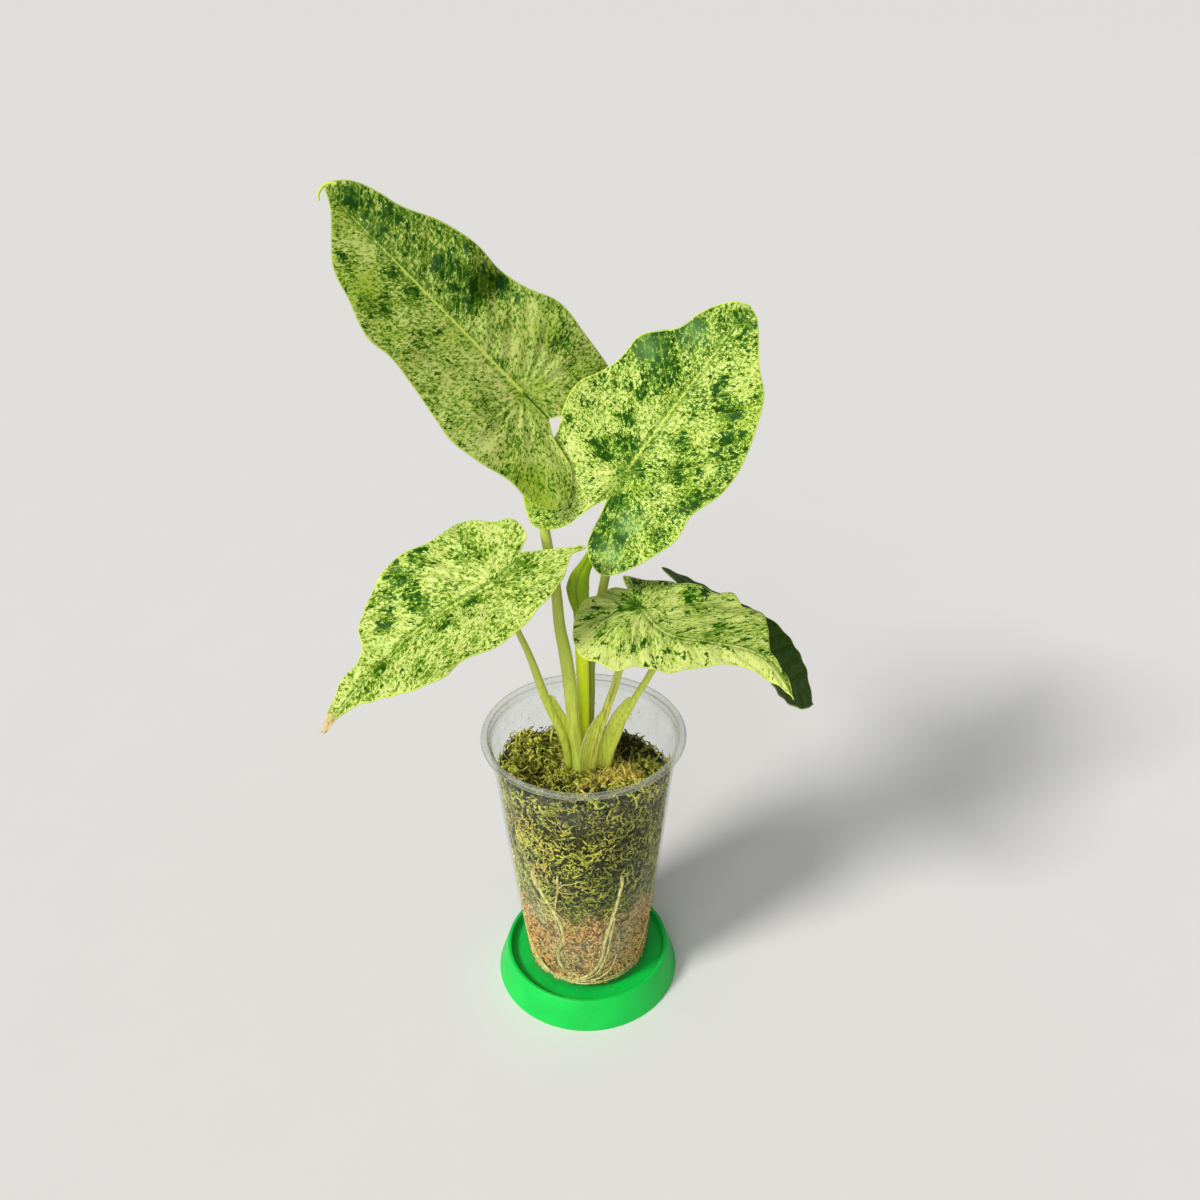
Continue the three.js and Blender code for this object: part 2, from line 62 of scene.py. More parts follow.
# Stand profile: [radius, height, corner radius], from the middle of the dish round to the
# middle of its underside
STAND_PROFILE = [
    [0, 11.4, 0], [38.4, 11.4, 1.2], [39.3, 15.5, 0.6], [41, 15.5, 0.7], [46, 0, 0.5],
    [43.7, 0, 0.5], [38, 9.6, 1], [0, 9.6, 0],
]

# Cup: wall line, rim bead and foot
CUP_WALL_BOTTOM = [31.0, 12.3]
CUP_WALL_TOP = [43.2, 144.5]
CUP_WALL = 0.8
CUP_RIM = [45.9, 148.3, 1.6]
CUP_FLOOR = 13.8
# Heights over which the wall fogs over the moss, and over which the rim gets a painted highlight
CUP_FOG = [116, 132]
CUP_BRIGHT = [144.3, 145.2]
# Height of the fine ridges of the rim bead
CUP_RIDGE = 0.09
# Radius that stands for the whole wall where a distance along it is measured
WALL_RADIUS = 37
# Shallow steps of the wall: [height, step out]
CUP_STEPS = [[20, 0], [132, 0], [133, 0.35], [139, 0.35], [140, 0.7]]
CUP_PROFILE_OUT = [[0, 13.0, 0], [27.5, 13.0, 0.4], [28.5, 11.7, 0.4], [30.6, 11.7, 0.6]]

# Moss
MOSS_TOP = 130.5
MOSS_SLOPE_BACK = 0.2
MOSS_SLOPE_RIGHT = 0.06
MOSS_SPLIT = 66.0
MOSS_BOTTOM = 14.1
# Heights over which the aged ground turns into the living one, and how far up and down the
# border between the strands goes
MOSS_CHANGE = [56, 74]
MOSS_WAVE = 11
# Depth of a bed of moss under the height that its strands start from
BED_DEPTH = 1.5
# Mounds and hollows of the moss top: [x, y, radius, height]
MOSS_MOUNDS = [
    [-26, 14, 9, 5.5], [-34, -8, 6, 3], [12, -24, 8, 4], [24, -20, 6, 3], [31, -2, 6, 4],
    [-22, -10, 9, -8], [22, 11, 8, -7], [-4, 27, 10, 3], [7, 9, 7, 2.5],
]

# Sprigs of dry moss on the top: [x, y, rise]
DRY_SPRIGS = [[9, -17, 1.5], [13, -12, 2.5], [17, -17, 1], [21, -12, 3], [24, -17, 2], [16, -21, 1]]
# Tufts of living moss placed around the corm and in the hollow behind it
GREEN_TUFTS = [
    [7, 9, 1], [12, 5, 0.5], [11, 12, 1], [3, 13, 1], [16, 9, 0], [19, 15, 0], [24, 9, 0.5],
    [16, 1, 0.5], [22, 3, 0], [27, 14, 0.5],
]
# Patches of moss behind the wall: [degrees, height, radius, dryness, brightness]; brightness lightens the
# tone and lifts painted shade
WALL_MARKS = [
    [-137, 112, 9, 0.8, 0.3], [-120, 104, 9, 0, 0.5], [-98, 104, 10, -0.2, 0.35],
    [-128, 90, 6, 0.7, 0.2], [-146, 78, 9, -0.3, 0.5], [-128, 74, 7, -0.2, 0.4],
    [-112, 86, 5, 0.8, 0.1], [-92, 124, 7, 0.2, -0.35], [-60, 92, 12, 0, -0.2],
    [-84, 76, 12, -0.2, 0.1], [-118, 62, 5, 0.2, -0.5], [-76, 64, 6, 0, -0.5],
    [-130, 60, 8, 0.9, 0.3], [-112, 30, 8, 0.5, 0.3], [-70, 30, 10, 0, -0.2],
]

# Corm, the short thick stem in the moss
CORM_PROFILE = [
    [0, 106, 0], [7, 106.6, 2], [11, 110, 2], [13, 117, 3], [13.6, 126, 2], [11, 130.6, 1.5],
    [0, 131.2, 0],
]

# Roots: a heading in degrees from the corm, then [degrees, height] points along the wall
ROOT_START = [[8, 118], [19, 109], [28.5, 98]]
ROOT_INSET = 1.4
ROOTS = [
    [-60, [[-61, 84], [-66, 66], [-73, 48], [-77, 32], [-90, 21], [-122, 17.5], [-165, 16.8]]],
    [-138, [[-134, 84], [-124, 73], [-113, 60], [-110, 47], [-117, 35], [-114, 25], [-98, 21]]],
    [98, [[95, 84], [82, 62], [60, 41], [22, 25], [-30, 18.8]]],
    [18, [[12, 85], [-4, 66], [-18, 47], [-14, 30]]],
    [188, [[187, 84], [196, 62], [172, 40], [140, 24], [100, 18.8]]],
]

# Thin roots pressed to the wall: [thickness, [degrees, height] points]
THIN_ROOTS = [
    [0.5, [[-110, 92], [-111, 82], [-114, 71], [-115, 60], [-112, 49]]],
    [0.3, [[-110, 84], [-106, 87], [-101, 88], [-97, 89.5], [-92, 91]]],
    [0.3, [[-131, 71], [-126, 70], [-121, 70.5], [-115, 73]]],
    [0.25, [[-111, 82], [-105, 81.5], [-99, 82]]],
    [0.3, [[-114, 66], [-108, 62], [-103, 58]]],
    [0.6, [[-165, 27], [-140, 20], [-115, 16.6], [-90, 15.6], [-60, 17], [-35, 20]]],
    [0.6, [[-150, 19], [-125, 17.4], [-100, 17.2], [-80, 19], [-68, 24], [-62, 34]]],
    [0.5, [[-140, 16], [-115, 18.6], [-95, 18.6], [-75, 16.6], [-45, 16.2]]],
    [0.5, [[-172, 40], [-160, 30], [-146, 24], [-128, 19], [-105, 15.4]]],
    [0.5, [[-66, 62], [-69, 48], [-72, 36], [-80, 24], [-96, 18]]],
    [0.4, [[-20, 40], [-32, 28], [-50, 20], [-75, 17.8]]],
]

# Blades. The junction is where the main veins meet; the midrib leaves it at a heading and a
# rise, and the blade is rolled about it. The outline is two lists of [along, across] from the
# tip round the lobe to the notch. A side is [fold at the junction, fold at the tip, wave,
# pitch, phase]. A blotch, a clearing, a sheen and a dent is [along, across, radius, strength]
# of a dark green patch, a pale patch, a bluish painted sheen and a raised or sunken patch. A
# thread is the line [along, across, radius] that the tip ends in. A look is how far the flecks
# are drawn out, how green, yellow and flecked the blade is, how much painted shade darkens it,
# how strong its rib is, and how pale the strip along its right margin.
LEAVES = {
    "upper_left": {
        "junction": [-21.6, 8, 311.2], "turn": [169, 46, 66], "length": 107,
        "arch": [5.5, 2], "droop": 0, "bow": 0, "sway": 0, "notch": [-15, 0],
        "dents": [
            [35, 20, 7, -6.5], [49, 20, 7, 4], [29, 10, 8, 2.5], [64, 13, 7, -2], [92, 2, 5, -2],
            [44, -20, 6, 2], [58, -16, 6, -1.5], [10, -18, 9, 2], [12, 18, 6, 2],
        ],
        "thread": [
            [104.5, 4.6, 0.7], [106.7, 3, 0.75], [107.6, 1, 0.7], [107.5, -1.5, 0.6],
            [106.6, -3.6, 0.5], [105, -4.7, 0.3],
        ],
        "right": [-0.18, 0.2, 3, 60, 0.1],
        "left": [0.45, 0.15, 2, 70, 0.4],
        "right_edge": [
            [106.7, 3.4], [103.8, 7.6], [99, 11], [91, 14], [83, 16], [68, 23], [53, 27],
            [39, 27], [27, 30], [15, 35], [-1, 34], [-18, 32], [-33, 28], [-41, 22], [-36, 17],
            [-21, 9],
        ],
        "left_edge": [
            [100, -4], [92, -12], [84, -19], [72, -23], [57, -28], [46, -27], [31, -29],
            [15, -32], [8, -33], [-6, -31], [-20, -28], [-34, -28], [-43, -22], [-43, -17],
            [-36, -8], [-22, -4],
        ],
        # Blotches about the dent [35, 20] are partly dark green and partly painted shade in its pocket
        "blotches": [
            [57, 13, 6, 0.9], [53, 15, 6, 0.9], [48, 7, 5, 0.6], [39, 15, 6, 1], [38, 10, 4, 0.7],
            [37, 22, 5, 0.9], [97, 4, 4, 1], [90, 6, 4, 0.6], [84, 13, 5, 0.5], [73, 18, 5, 0.4],
            [82, 2, 4, 0.6], [85, -14, 5, 0.5], [66, -4, 4, 0.6], [56, -4, 4, 0.9],
            [59, -15, 3.5, 0.9], [5, 23, 4, 0.9], [-8, 20, 3, 0.7], [9, -14, 3.5, 0.6],
            [-26, -17, 3, 0.6], [-18, -7, 3, 0.6], [-12, -17, 3.5, 0.5], [25, -11, 4, 0.6],
            [42, -10, 5, 0.4], [29, 3, 2.5, 0.7], [14, 2, 2.5, 0.7],
        ],
        "clearings": [
            [31, 9, 7, 0.8], [15, 14, 10, 1], [-3, 10, 9, 0.9], [54, -14, 5, 0.6],
            [45, -4, 6, 0.5], [6, -8, 8, 0.7], [0, -27, 6, 0.6], [-22, -12, 12, 0.7],
            [78, -7, 6, 0.5], [47.5, 22, 3, 0.9], [20, -15, 9, 0.4],
        ],
        "look": {
            "green": 0.56, "flecks": 0.4, "yellow": 0.34, "stretch": 0.7, "rib": 1,
            "painted_shade": 0.3, "strip": 0,
        },
    },
    "upper_right": {
        "junction": [19.5, -3, 281], "turn": [16, 52, -55], "length": 81,
        "arch": [2, 2], "droop": 0, "bow": 0, "sway": 0, "notch": [-14, 0],
        "dents": [[30, -10, 7, 1.5], [40, 12, 8, 1.5], [12, 14, 7, 1.5], [55, -8, 6, -1.5]],
        "sheens": [[60, -11, 6, 0.8], [44, -22, 5, 0.8], [-31, 15, 5, 1], [-16, 14, 5, 0.9]],
        "right": [0.12, 0.1, 2, 55, 0.3],
        "left": [0.1, 0.1, 2, 50, 0],
        "right_edge": [
            [78, 6], [71, 12], [64, 18], [57, 26], [46, 31], [37, 34], [28, 36], [16, 36],
            [3, 32], [-9, 33], [-19, 30], [-29, 26], [-39, 19], [-40, 14], [-34, 5], [-21, 2],
        ],
        "left_edge": [
            [79, -5], [74, -10], [67, -14], [58, -17], [53, -22], [46, -28], [35, -29],
            [26, -32], [18, -36], [9, -36], [-6, -32], [-18, -33], [-28, -32], [-38, -23],
            [-41, -17], [-35, -8], [-21, -3],
        ],
        "blotches": [
            [46, -19, 8, 1], [41, -24, 5, 0.7], [44, -11, 5, 0.9], [38, -12, 6, 0.9],
            [28, -14, 3.5, 1], [18, -13, 3, 0.9], [8, -6, 4.5, 1], [2, -15, 4, 0.9],
            [0, -10, 2.5, 1], [50, 9, 4, 0.9], [47, 12, 4, 0.8], [43, 19, 4, 0.7],
            [23, 11, 3.5, 0.8], [35, 25, 6, 0.6], [29, 32, 6, 0.8], [2, 3, 4, 0.7],
            [18, 22, 3, 0.7], [12, 18, 3, 0.7], [8, 28, 5, 0.8], [75, 3, 5, 0.7], [66, 4, 4, 0.6],
            [47, -26, 5, 0.6], [59, -15, 7, 0.6], [-13, 5, 5, 0.9], [-21, 6, 5, 1],
            [-30, 7, 5, 1], [-22, 14, 3, 0.7], [-11, 24, 4, 0.6], [-40, 14, 4, 0.6],
        ],
        "clearings": [
            [-17, -17, 10, 0.9], [14, -20, 8, 0.5], [27, 15, 8, 0.4], [-8, -6, 6, 0.6],
        ],
        "look": {
            "green": 0.57, "flecks": 0.62, "yellow": 0.3, "stretch": 0.4, "rib": 0.45,
            "painted_shade": 0, "strip": 0,
        },
    },
    "lower_left": {
        "junction": [-35, -28, 243.8], "turn": [-147, -25, 9], "length": 88,
        "arch": [6, 2], "droop": 0, "bow": 7.5, "sway": 0, "notch": [-17, 4],
        "dents": [[18, 12, 7, 2], [34, 16, 7, -1.5], [20, -14, 8, 2], [50, 2, 6, -2], [6, 24, 6, -2]],
        "thread": [[84, 0.8, 0.9], [87, 1.2, 0.6], [88.4, 1.3, 0.35], [89.6, 1.7, 0.2]],
        "right": [0.2, 0.2, 2, 55, 0],
        "left": [0.2, 0.2, 2, 60, 0.5],
        "right_edge": [
            [85, 3], [79, 5], [69, 8], [61, 8], [56, 10], [52, 18], [42, 26], [28, 33],
            [10, 32], [-8, 35], [-12, 33], [-20, 23], [-25, 19], [-26, 14], [-24, 7.5],
            [-20, 5.3],
        ],
        "left_edge": [
            [84, -1], [75, -4], [70, -8], [60, -19], [51, -29], [41, -36], [31, -33],
            [14, -34], [-2, -31], [-11, -30], [-19, -27], [-25, -21], [-31, -17], [-36, -19],
            [-36, -16], [-31, -11], [-25, -4], [-19, 3],
        ],
        "blotches": [
            [14, 27, 5, 0.9], [25, 25, 6, 0.9], [32, 23, 4, 0.7], [25, 18, 5, 0.8],
            [27, 11, 5, 1], [41, 12, 4, 0.9], [44, 13, 3, 0.7], [44, -1, 4, 0.7], [10, -3, 3, 1],
            [13, -4, 2.5, 1], [55, -1, 4, 0.8], [27, -9, 4, 0.6], [2, 21, 5, 0.7],
            [-3, 19, 4, 0.6], [-14, -6, 4, 0.6],
        ],
        "clearings": [
            [12, 18, 7, 0.9], [0, 18, 6, 0.5], [49, 9, 4, 0.5], [66, 4, 5, 0.7],
            [-14, 19, 6, 0.7], [4, 6, 6, 0.6], [38, 5, 6, 0.4],
        ],
        "look": {
            "green": 0.53, "flecks": 0.45, "yellow": 0.15, "stretch": 0.6, "rib": 0.25, "painted_shade": 0,
            "strip": 0,
        },
    },
    "lower_right": {
        "junction": [25.9, -24, 229.4], "turn": [-34, -4, 0], "length": 71,
        "arch": [14, 4], "droop": 2, "bow": 2.5, "sway": 7.5, "notch": [-13, -9],
        "dents": [[12, -30, 6, 2], [28, -32, 5, -2.5], [38, -20, 5, 1.5], [2, 16, 8, 2], [30, 6, 6, 1.5]],
        "right": [-0.25, -0.7, 1, 50, 0],
        "left": [0.05, 0.1, 1, 50, 0.2],
        "right_edge": [
            [64, 4], [57, 7], [47, 8], [37, 12], [28, 17], [17, 20], [11, 28], [5, 32],
            [-3, 34], [-10, 32], [-15, 28], [-20, 21], [-23, 14], [-24, 7], [-21, 2], [-18, -6],
        ],
        "left_edge": [
            [66, -2], [59, -3], [54, -5], [48, -15], [43, -23], [38, -28], [33, -31],
            [28, -38], [24, -41], [18, -36], [12, -33], [5, -27], [-4, -21], [-10, -19],
            [-15, -18], [-20, -16], [-17, -12.3],
        ],
        "blotches": [
            [-17, 9, 4, 0.7], [-4, 1, 4, 0.9], [11, -26, 3.5, 0.8], [-10, -1, 4, 0.5],
            [-12, -17, 4, 0.7], [-2, -19, 4, 0.4], [32, -7, 4, 0.4], [23, 14, 5, 0.4],
            [7, 18, 4, 0.3], [13, 10, 4, 0.3], [20, -22, 4, 0.3],
        ],
        "clearings": [[8, 6, 9, 0.4], [20, -12, 8, 0.3]],
        "look": {
            "green": 0.5, "flecks": 0.68, "yellow": -0.1, "stretch": 1.1, "rib": 0.4, "painted_shade": 0.06,
            "strip": 1,
        },
    },
    "rear": {
        "junction": [59.9, 14, 201.6], "turn": [1, -36.7, -15.5], "length": 70.6,
        "arch": [12.4, 2], "droop": 0, "bow": 0, "sway": 0, "notch": [-9, -1],
        "right": [0.74, -0.28, 0, 50, 0],
        "left": [-0.33, 0.39, 0, 50, 0],
        "right_edge": [
            [66, 6], [59, 11], [49, 16], [37, 21], [20, 25], [0, 25], [-14, 22], [-25, 16],
            [-30, 10], [-27, 6], [-17, 2],
        ],
        "left_edge": [
            [66, -5], [59, -12], [49, -18], [37, -24], [20, -27], [0, -26], [-14, -22],
            [-25, -17.5], [-29, -15], [-23, -11.5], [-14, -5],
        ],
        "blotches": [],
        "clearings": [],
        "look": {
            "green": 0.6, "flecks": 0.5, "yellow": 0.3, "stretch": 0.8, "rib": 0.3, "painted_shade": 0,
            "strip": 0,
        },
    },
}

# Stalks: a foot [x, y, radius] on the corm, stations [x, y, height, radius], and a sheath
# wing that points to one side, in degrees, with its reach at the base and half way, and its top
STALKS = {
    "upper_left": {
        "foot": [-2, -6.5, 3],
        "stations": [
            [-2.9, -6.8, 147, 3], [-4, -7, 156, 3], [-4.5, -7, 165, 3.05],
            [-5.1, -7, 175, 3.05], [-7.2, -5, 195, 2.9], [-9.3, -3.5, 208, 2.5],
            [-10.8, -1, 227.5, 2.3], [-14.1, 3, 247.2, 2.25], [-17.9, 7, 277.7, 2],
            [-20.6, 11, 298.1, 1.7],
        ],
        "wing": [60, 1, 1.6, 180],
    },
    "upper_right": {
        "foot": [2.7, 5.6, 2.3],
        "stations": [
            [2.7, 5.6, 150, 2.3], [3.3, 5.5, 168, 2.3], [3.6, 5.3, 182, 2.2],
            [6.2, 4, 204, 2.1], [10.1, 2, 226.6, 2], [13.6, -0.5, 248.6, 1.9],
            [16.9, -1, 269, 1.7],
        ],
        "wing": [90, 1, 1, 165],
    },
    "lower_left": {
        "foot": [-6.9, -2.4, 2],
        "stations": [
            [-7.4, -2.8, 137, 2], [-8.7, -4, 146.7, 2], [-11.2, -5, 156.2, 2.05],
            [-14.2, -6.4, 165.5, 2], [-17.2, -9, 176.9, 2], [-19.8, -12, 189.6, 1.8],
            [-22.8, -15, 202.7, 1.5], [-25.8, -19, 214.3, 1.35], [-29.6, -24, 229.5, 1.3],
        ],
        "wing": [15, 0.3, 3, 175],
    },
    "lower_right": {
        "foot": [3.3, -8.3, 2.1],
        "stations": [
            [4.3, -8.4, 139, 2], [5.4, -8.6, 146.5, 1.9], [7.2, -9.2, 154.7, 1.9],
            [9.7, -10, 164.8, 1.9], [11.8, -11, 173, 1.85], [14.2, -12.5, 181.9, 1.8],
            [16.3, -15, 192.8, 1.7], [22, -21, 214.5, 1.4],
        ],
        "wing": [213, 5.6, 7.6, 170],
    },
    "rear": {
        "foot": [10.6, -5, 1.9],
        "stations": [
            [12.7, -4, 141, 1.85], [15.4, -3, 148, 1.8], [17.8, -2, 155.4, 1.7],
            [21.2, 0, 161.6, 1.6], [24.2, 2, 167, 1.6], [28.3, 4, 173, 1.6],
            [31.8, 6, 178.5, 1.55], [40.6, 10, 189, 1.45], [50, 14, 196, 1.4],
        ],
        "wing": [185, 3.4, 4.8, 166],
    },
}
STALK_BASE = 131.3
# Heights over which a stalk turns from pale to green
STALK_GREENING = [150, 215]

# Young leaf: stations [x, y, height, half width, half depth]
YOUNG_LEAF = [
    [0.3, -0.6, 130, 2.3, 2.2], [0.3, -0.6, 146, 2.3, 2.2], [0.4, -0.3, 163, 2.5, 2.3],
    [0.1, 0, 185, 2.9, 2.5], [0, 0.4, 205, 3.2, 2.5], [-0.1, 0.7, 213, 3.3, 2.4],
    [-0.9, 1, 219.7, 4.5, 2.2], [-1.2, 1, 225, 5, 2.1], [-0.2, 1, 230.3, 4.2, 2],
    [1.7, 1.2, 234.5, 3.1, 1.8], [4.2, 1.6, 239.5, 2.4, 1.5], [6.2, 2, 245, 1.5, 1.1],
    [7.6, 2.5, 250, 0.6, 0.5],
]
# Height where its stalk turns into the blade, and heading of the crease where it is rolled
YOUNG_FOOT = 203
YOUNG_CREASE = math.radians(257)

# Camera: place, pitch below the horizon and roll, in degrees, and its lens on a 36 mm frame
CAMERA_PLACE = [8.3, -446.5, 482.7]
CAMERA_PITCH = 30.54
CAMERA_ROLL = 0.59

# Lights: name, share of the key strength, share of its softness, colour and direction
LIGHTS = [
    ["key", 1, 1, (1, 0.98, 0.94), (-0.85, -0.62, 0.95)],
    ["fill", 0.38, 3, (1, 1, 1), (-0.3, -1, 0.5)],
]
# Half the width of the floor, in metres
FLOOR_REACH = 20


# Settings that a user would change

def colour(name, description, default):
    return FloatVectorProperty(
        name=name, description=description, default=default, subtype="COLOR", size=3,
        min=0, max=1,
    )


def share(name, description, default):
    return FloatProperty(
        name=name, description=description, default=default, subtype="FACTOR", min=0, max=1,
    )


def size(name, description, millimetres):
    return FloatProperty(
        name=name, description=description, default=millimetres * MM, unit="LENGTH",
        subtype="DISTANCE", min=0, precision=5,
    )


def count(name, description, default):
    return IntProperty(name=name, description=description, default=default, min=0)


class LeafSettings(PropertyGroup):
    """Sizes and colours of the blades"""

    cream: colour("Cream", "Palest ground of the blade", (0.63, 0.71, 0.21))
    lime: colour("Lime", "Yellow-green ground of the blade", (0.4, 0.54, 0.045))
    leaf_green: colour("Leaf green", "Light mottling", (0.25, 0.42, 0.022))
    # Colour of a painted sheen: bluish patches that stand for the gloss on the upper right blade
    painted_sheen: colour("Frost", "Bluish sheen in patches", (0.2, 0.4, 0.13))
    mid_green: colour("Mid green", "Dark mottling", (0.064, 0.165, 0.002))
    fleck: colour("Fleck green", "Flecks", (0.036, 0.13, 0.001))
    dark_green: colour("Dark green", "Cores of the flecks and blotches", (0.012, 0.065, 0.001))
    rib: colour("Rib", "Midrib and margin", (0.62, 0.76, 0.1))
    underside: colour("Underside", "Back of the blade", (0.34, 0.45, 0.16))
    # Painted shade: the rear leaf's dark green stands for the shade that it lies in behind the lower
    # right leaf
    shaded: colour("Shaded leaf", "The plain green leaf at the back", (0.016, 0.06, 0.0))
    tan: colour("Dry tip", "Dried tip of the lower left leaf", (0.7, 0.5, 0.25))
    roughness: share("Roughness", "Roughness of the blades", 0.42)
    thickness: size("Thickness", "Thickness of a blade", 0.6)
    quilting: size("Quilting", "Swell of the blade between two veins", 0.4)
    rib_height: size("Rib height", "Height of the midrib on the underside", 0.9)
    vein_spacing: size("Vein spacing", "Distance between side veins on the midrib", 9)


class StalkSettings(PropertyGroup):
    """Sizes and colours of the stalks"""

    pale: colour("Pale", "Lower part of a stalk", (0.86, 0.95, 0.13))
    green: colour("Green", "Upper part of a stalk", (0.47, 0.55, 0.08))
    stripe: colour("Stripe", "Brownish stripe on the lower right stalk", (0.22, 0.13, 0.05))
    shade: colour("Shade", "The shaded stalk", (0.13, 0.16, 0.01))
    edge: colour("Edge", "Edge of a sheath wing", (0.7, 0.75, 0.36))
    young: colour("Young leaf", "Rolled young leaf", (0.22, 0.36, 0.002))
    young_stalk: colour("Young stalk", "Stalk of the young leaf", (0.85, 1, 0.006))
    roughness: share("Roughness", "Roughness of the stalks", 0.38)
    wing_thickness: size("Wing thickness", "Thickness of a sheath wing", 0.6)


class PotSettings(PropertyGroup):
    """Colours and finish of the stand and the cup"""

    stand: colour("Stand", "Green plastic of the stand", (0.002, 0.56, 0.065))
    plastic: colour("Haze", "Scuffs and haze of the cup", (0.52, 0.54, 0.4))
    # Painted reflection: darker grey of the cup's wall seen edge on
    painted_edge_reflection: colour("Cup edge", "The cup's wall seen edge on", (0.4, 0.43, 0.41))
    stand_roughness: share("Stand roughness", "Roughness of the stand", 0.4)
    cup_roughness: share("Cup roughness", "Roughness of the cup", 0.08)
    haze: share("Haze", "How much the cup's wall is fogged", 0.09)
    sides: count("Sides", "Sides of the round pieces", 144)


class MossSettings(PropertyGroup):
    """Counts, sizes and colours of the moss and the roots"""

    living: colour("Living moss", "Bright strands", (0.68, 0.68, 0.09))
    olive: colour("Olive moss", "Dark strands", (0.14, 0.16, 0.005))
    tan: colour("Tan moss", "Dry strands of the living layer", (0.84, 0.66, 0.14))
    aged: colour("Aged moss", "Bright crumbs of the aged layer", (1, 0.66, 0.24))
    rust: colour("Rust", "Orange crumbs of the aged layer", (0.86, 0.42, 0.08))
    # Painted shade: the beds are painted near black and dark brown, as the shade in the gaps between
    # strands and crumbs
    bed: colour("Bed", "Dark ground between the strands", (0.018, 0.018, 0.001))
    aged_bed: colour("Aged bed", "Dark ground between the crumbs", (0.07, 0.035, 0.008))
    root: colour("Root", "Roots", (0.78, 0.72, 0.26))
    top_strands: count("Top strands", "Strands on the moss top", 3800)
    wall_strands: count("Wall strands", "Strands behind the cup's wall", 7200)
    aged_strands: count("Aged strands", "Strands of the aged layer", 4000)
    seed: count("Seed", "Seed of all random draws", 7)
    strand: size("Strand radius", "Radius of a moss strand", 0.4)


class StageSettings(PropertyGroup):
    """Camera, floor and lights"""

    floor: colour("Floor", "Floor", (0.75, 0.75, 0.74))
    sky: colour("Sky", "Light from all sides", (1, 1, 1))
    sky_strength: FloatProperty(
        name="Sky strength", description="Strength of the light from all sides", default=0.3,
        min=0,
    )
    key_strength: FloatProperty(
        name="Key strength", description="Strength of the main light", default=2.6, min=0,
    )
    key_softness: FloatProperty(
        name="Key softness", description="Angle that the main light fills",
        default=math.radians(14), min=0, subtype="ANGLE",
    )
    lens: FloatProperty(
        name="Lens", description="Focal length in millimetres on a 36 mm frame", default=36,
        min=1, unit="CAMERA",
    )


# Numbers and curves

def lerp(low, high, part):
    return low + (high - low) * part


def smooth(value):
    part = np.clip(value, 0, 1)
    return part * part * (3 - 2 * part)


def unit(vectors):
    return vectors / np.linalg.norm(vectors, axis=-1, keepdims=True)


def columns(*values):
    """Rows of numbers from an array, or one number, for each column"""
    return np.stack(np.broadcast_arrays(*values), axis=-1)


def around(sides):
    """Angles of the points of a ring"""
    return np.arange(sides) * math.tau / sides


def polar(radius, angle, height):
    return columns(radius * np.cos(angle), radius * np.sin(angle), height)


def soft_marks(marks, x, y):
    """Sum of round marks with soft edges, each [x, y, radius, amount]"""
    total = 0
    for middle_x, middle_y, radius, amount in marks:
        away = ((x - middle_x) ** 2 + (y - middle_y) ** 2) / radius ** 2
        total = total + amount * np.exp(-away)
    return total


class Curve:
    """Smooth curve through points, by the same rule as the curves of the solids."""

    def __init__(self, points):
        inner = np.array(points, float)
        first = 2 * inner[0] - inner[1]
        last = 2 * inner[-1] - inner[-2]
        self.points = np.vstack([first, inner, last])

    def at(self, shares):
        segments = len(self.points) - 3
        places = np.clip(np.asarray(shares, float) * segments, 0, segments - 1e-9)
        index = places.astype(int)
        part = (places - index)[:, None]
        before, start, end, after = (self.points[index + step] for step in range(4))
        gaps = [
            np.maximum(np.linalg.norm(b - a, axis=1)[:, None], 1e-9) ** 0.5
            for a, b in ((before, start), (start, end), (end, after))
        ]
        leave = (start - before) / gaps[0] - (end - before) / (gaps[0] + gaps[1])
        leave = (leave + (end - start) / gaps[1]) * gaps[1]
        arrive = (end - start) / gaps[1] - (after - start) / (gaps[1] + gaps[2])
        arrive = (arrive + (after - end) / gaps[2]) * gaps[1]
        square = 3 * (end - start) - 2 * leave - arrive
        cube = 2 * (start - end) + leave + arrive
        return start + leave * part + square * part ** 2 + cube * part ** 3

    def spaced(self, shares):
        """Points at shares of the curve's length"""
        fine = self.at(np.linspace(0, 1, 60 * len(self.points)))
        steps = np.linalg.norm(np.diff(fine, axis=0), axis=1)
        lengths = np.concatenate([[0], np.cumsum(steps)])
        wanted = np.asarray(shares) * lengths[-1]
        return columns(*[np.interp(wanted, lengths, column) for column in fine.T])

    def tangents(self, shares):
        near = 1e-3
        ahead = self.at(np.clip(np.asarray(shares) + near, 0, 1))
        behind = self.at(np.clip(np.asarray(shares) - near, 0, 1))
        return unit(ahead - behind)


def rough(points, scale, seed):
    """Smooth noise from -1 to 1 at points in millimetres"""
    offset = Vector((seed * 17.3, seed * 5.1, seed * 9.7))
    places = np.asarray(points).tolist()
    return np.array([noise.noise(Vector(place) * scale + offset) for place in places])


# Pieces

def cup_axis():
    """Foot of the cup's axis, in the scene's metres"""
    low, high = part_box("clear_cup")
    return np.array([(low.x + high.x) / 2, (low.y + high.y) / 2, 0])


def put_in_scene(name, data):
    made = bpy.data.objects.new(name, data)
    bpy.context.scene.collection.objects.link(made)
    return made


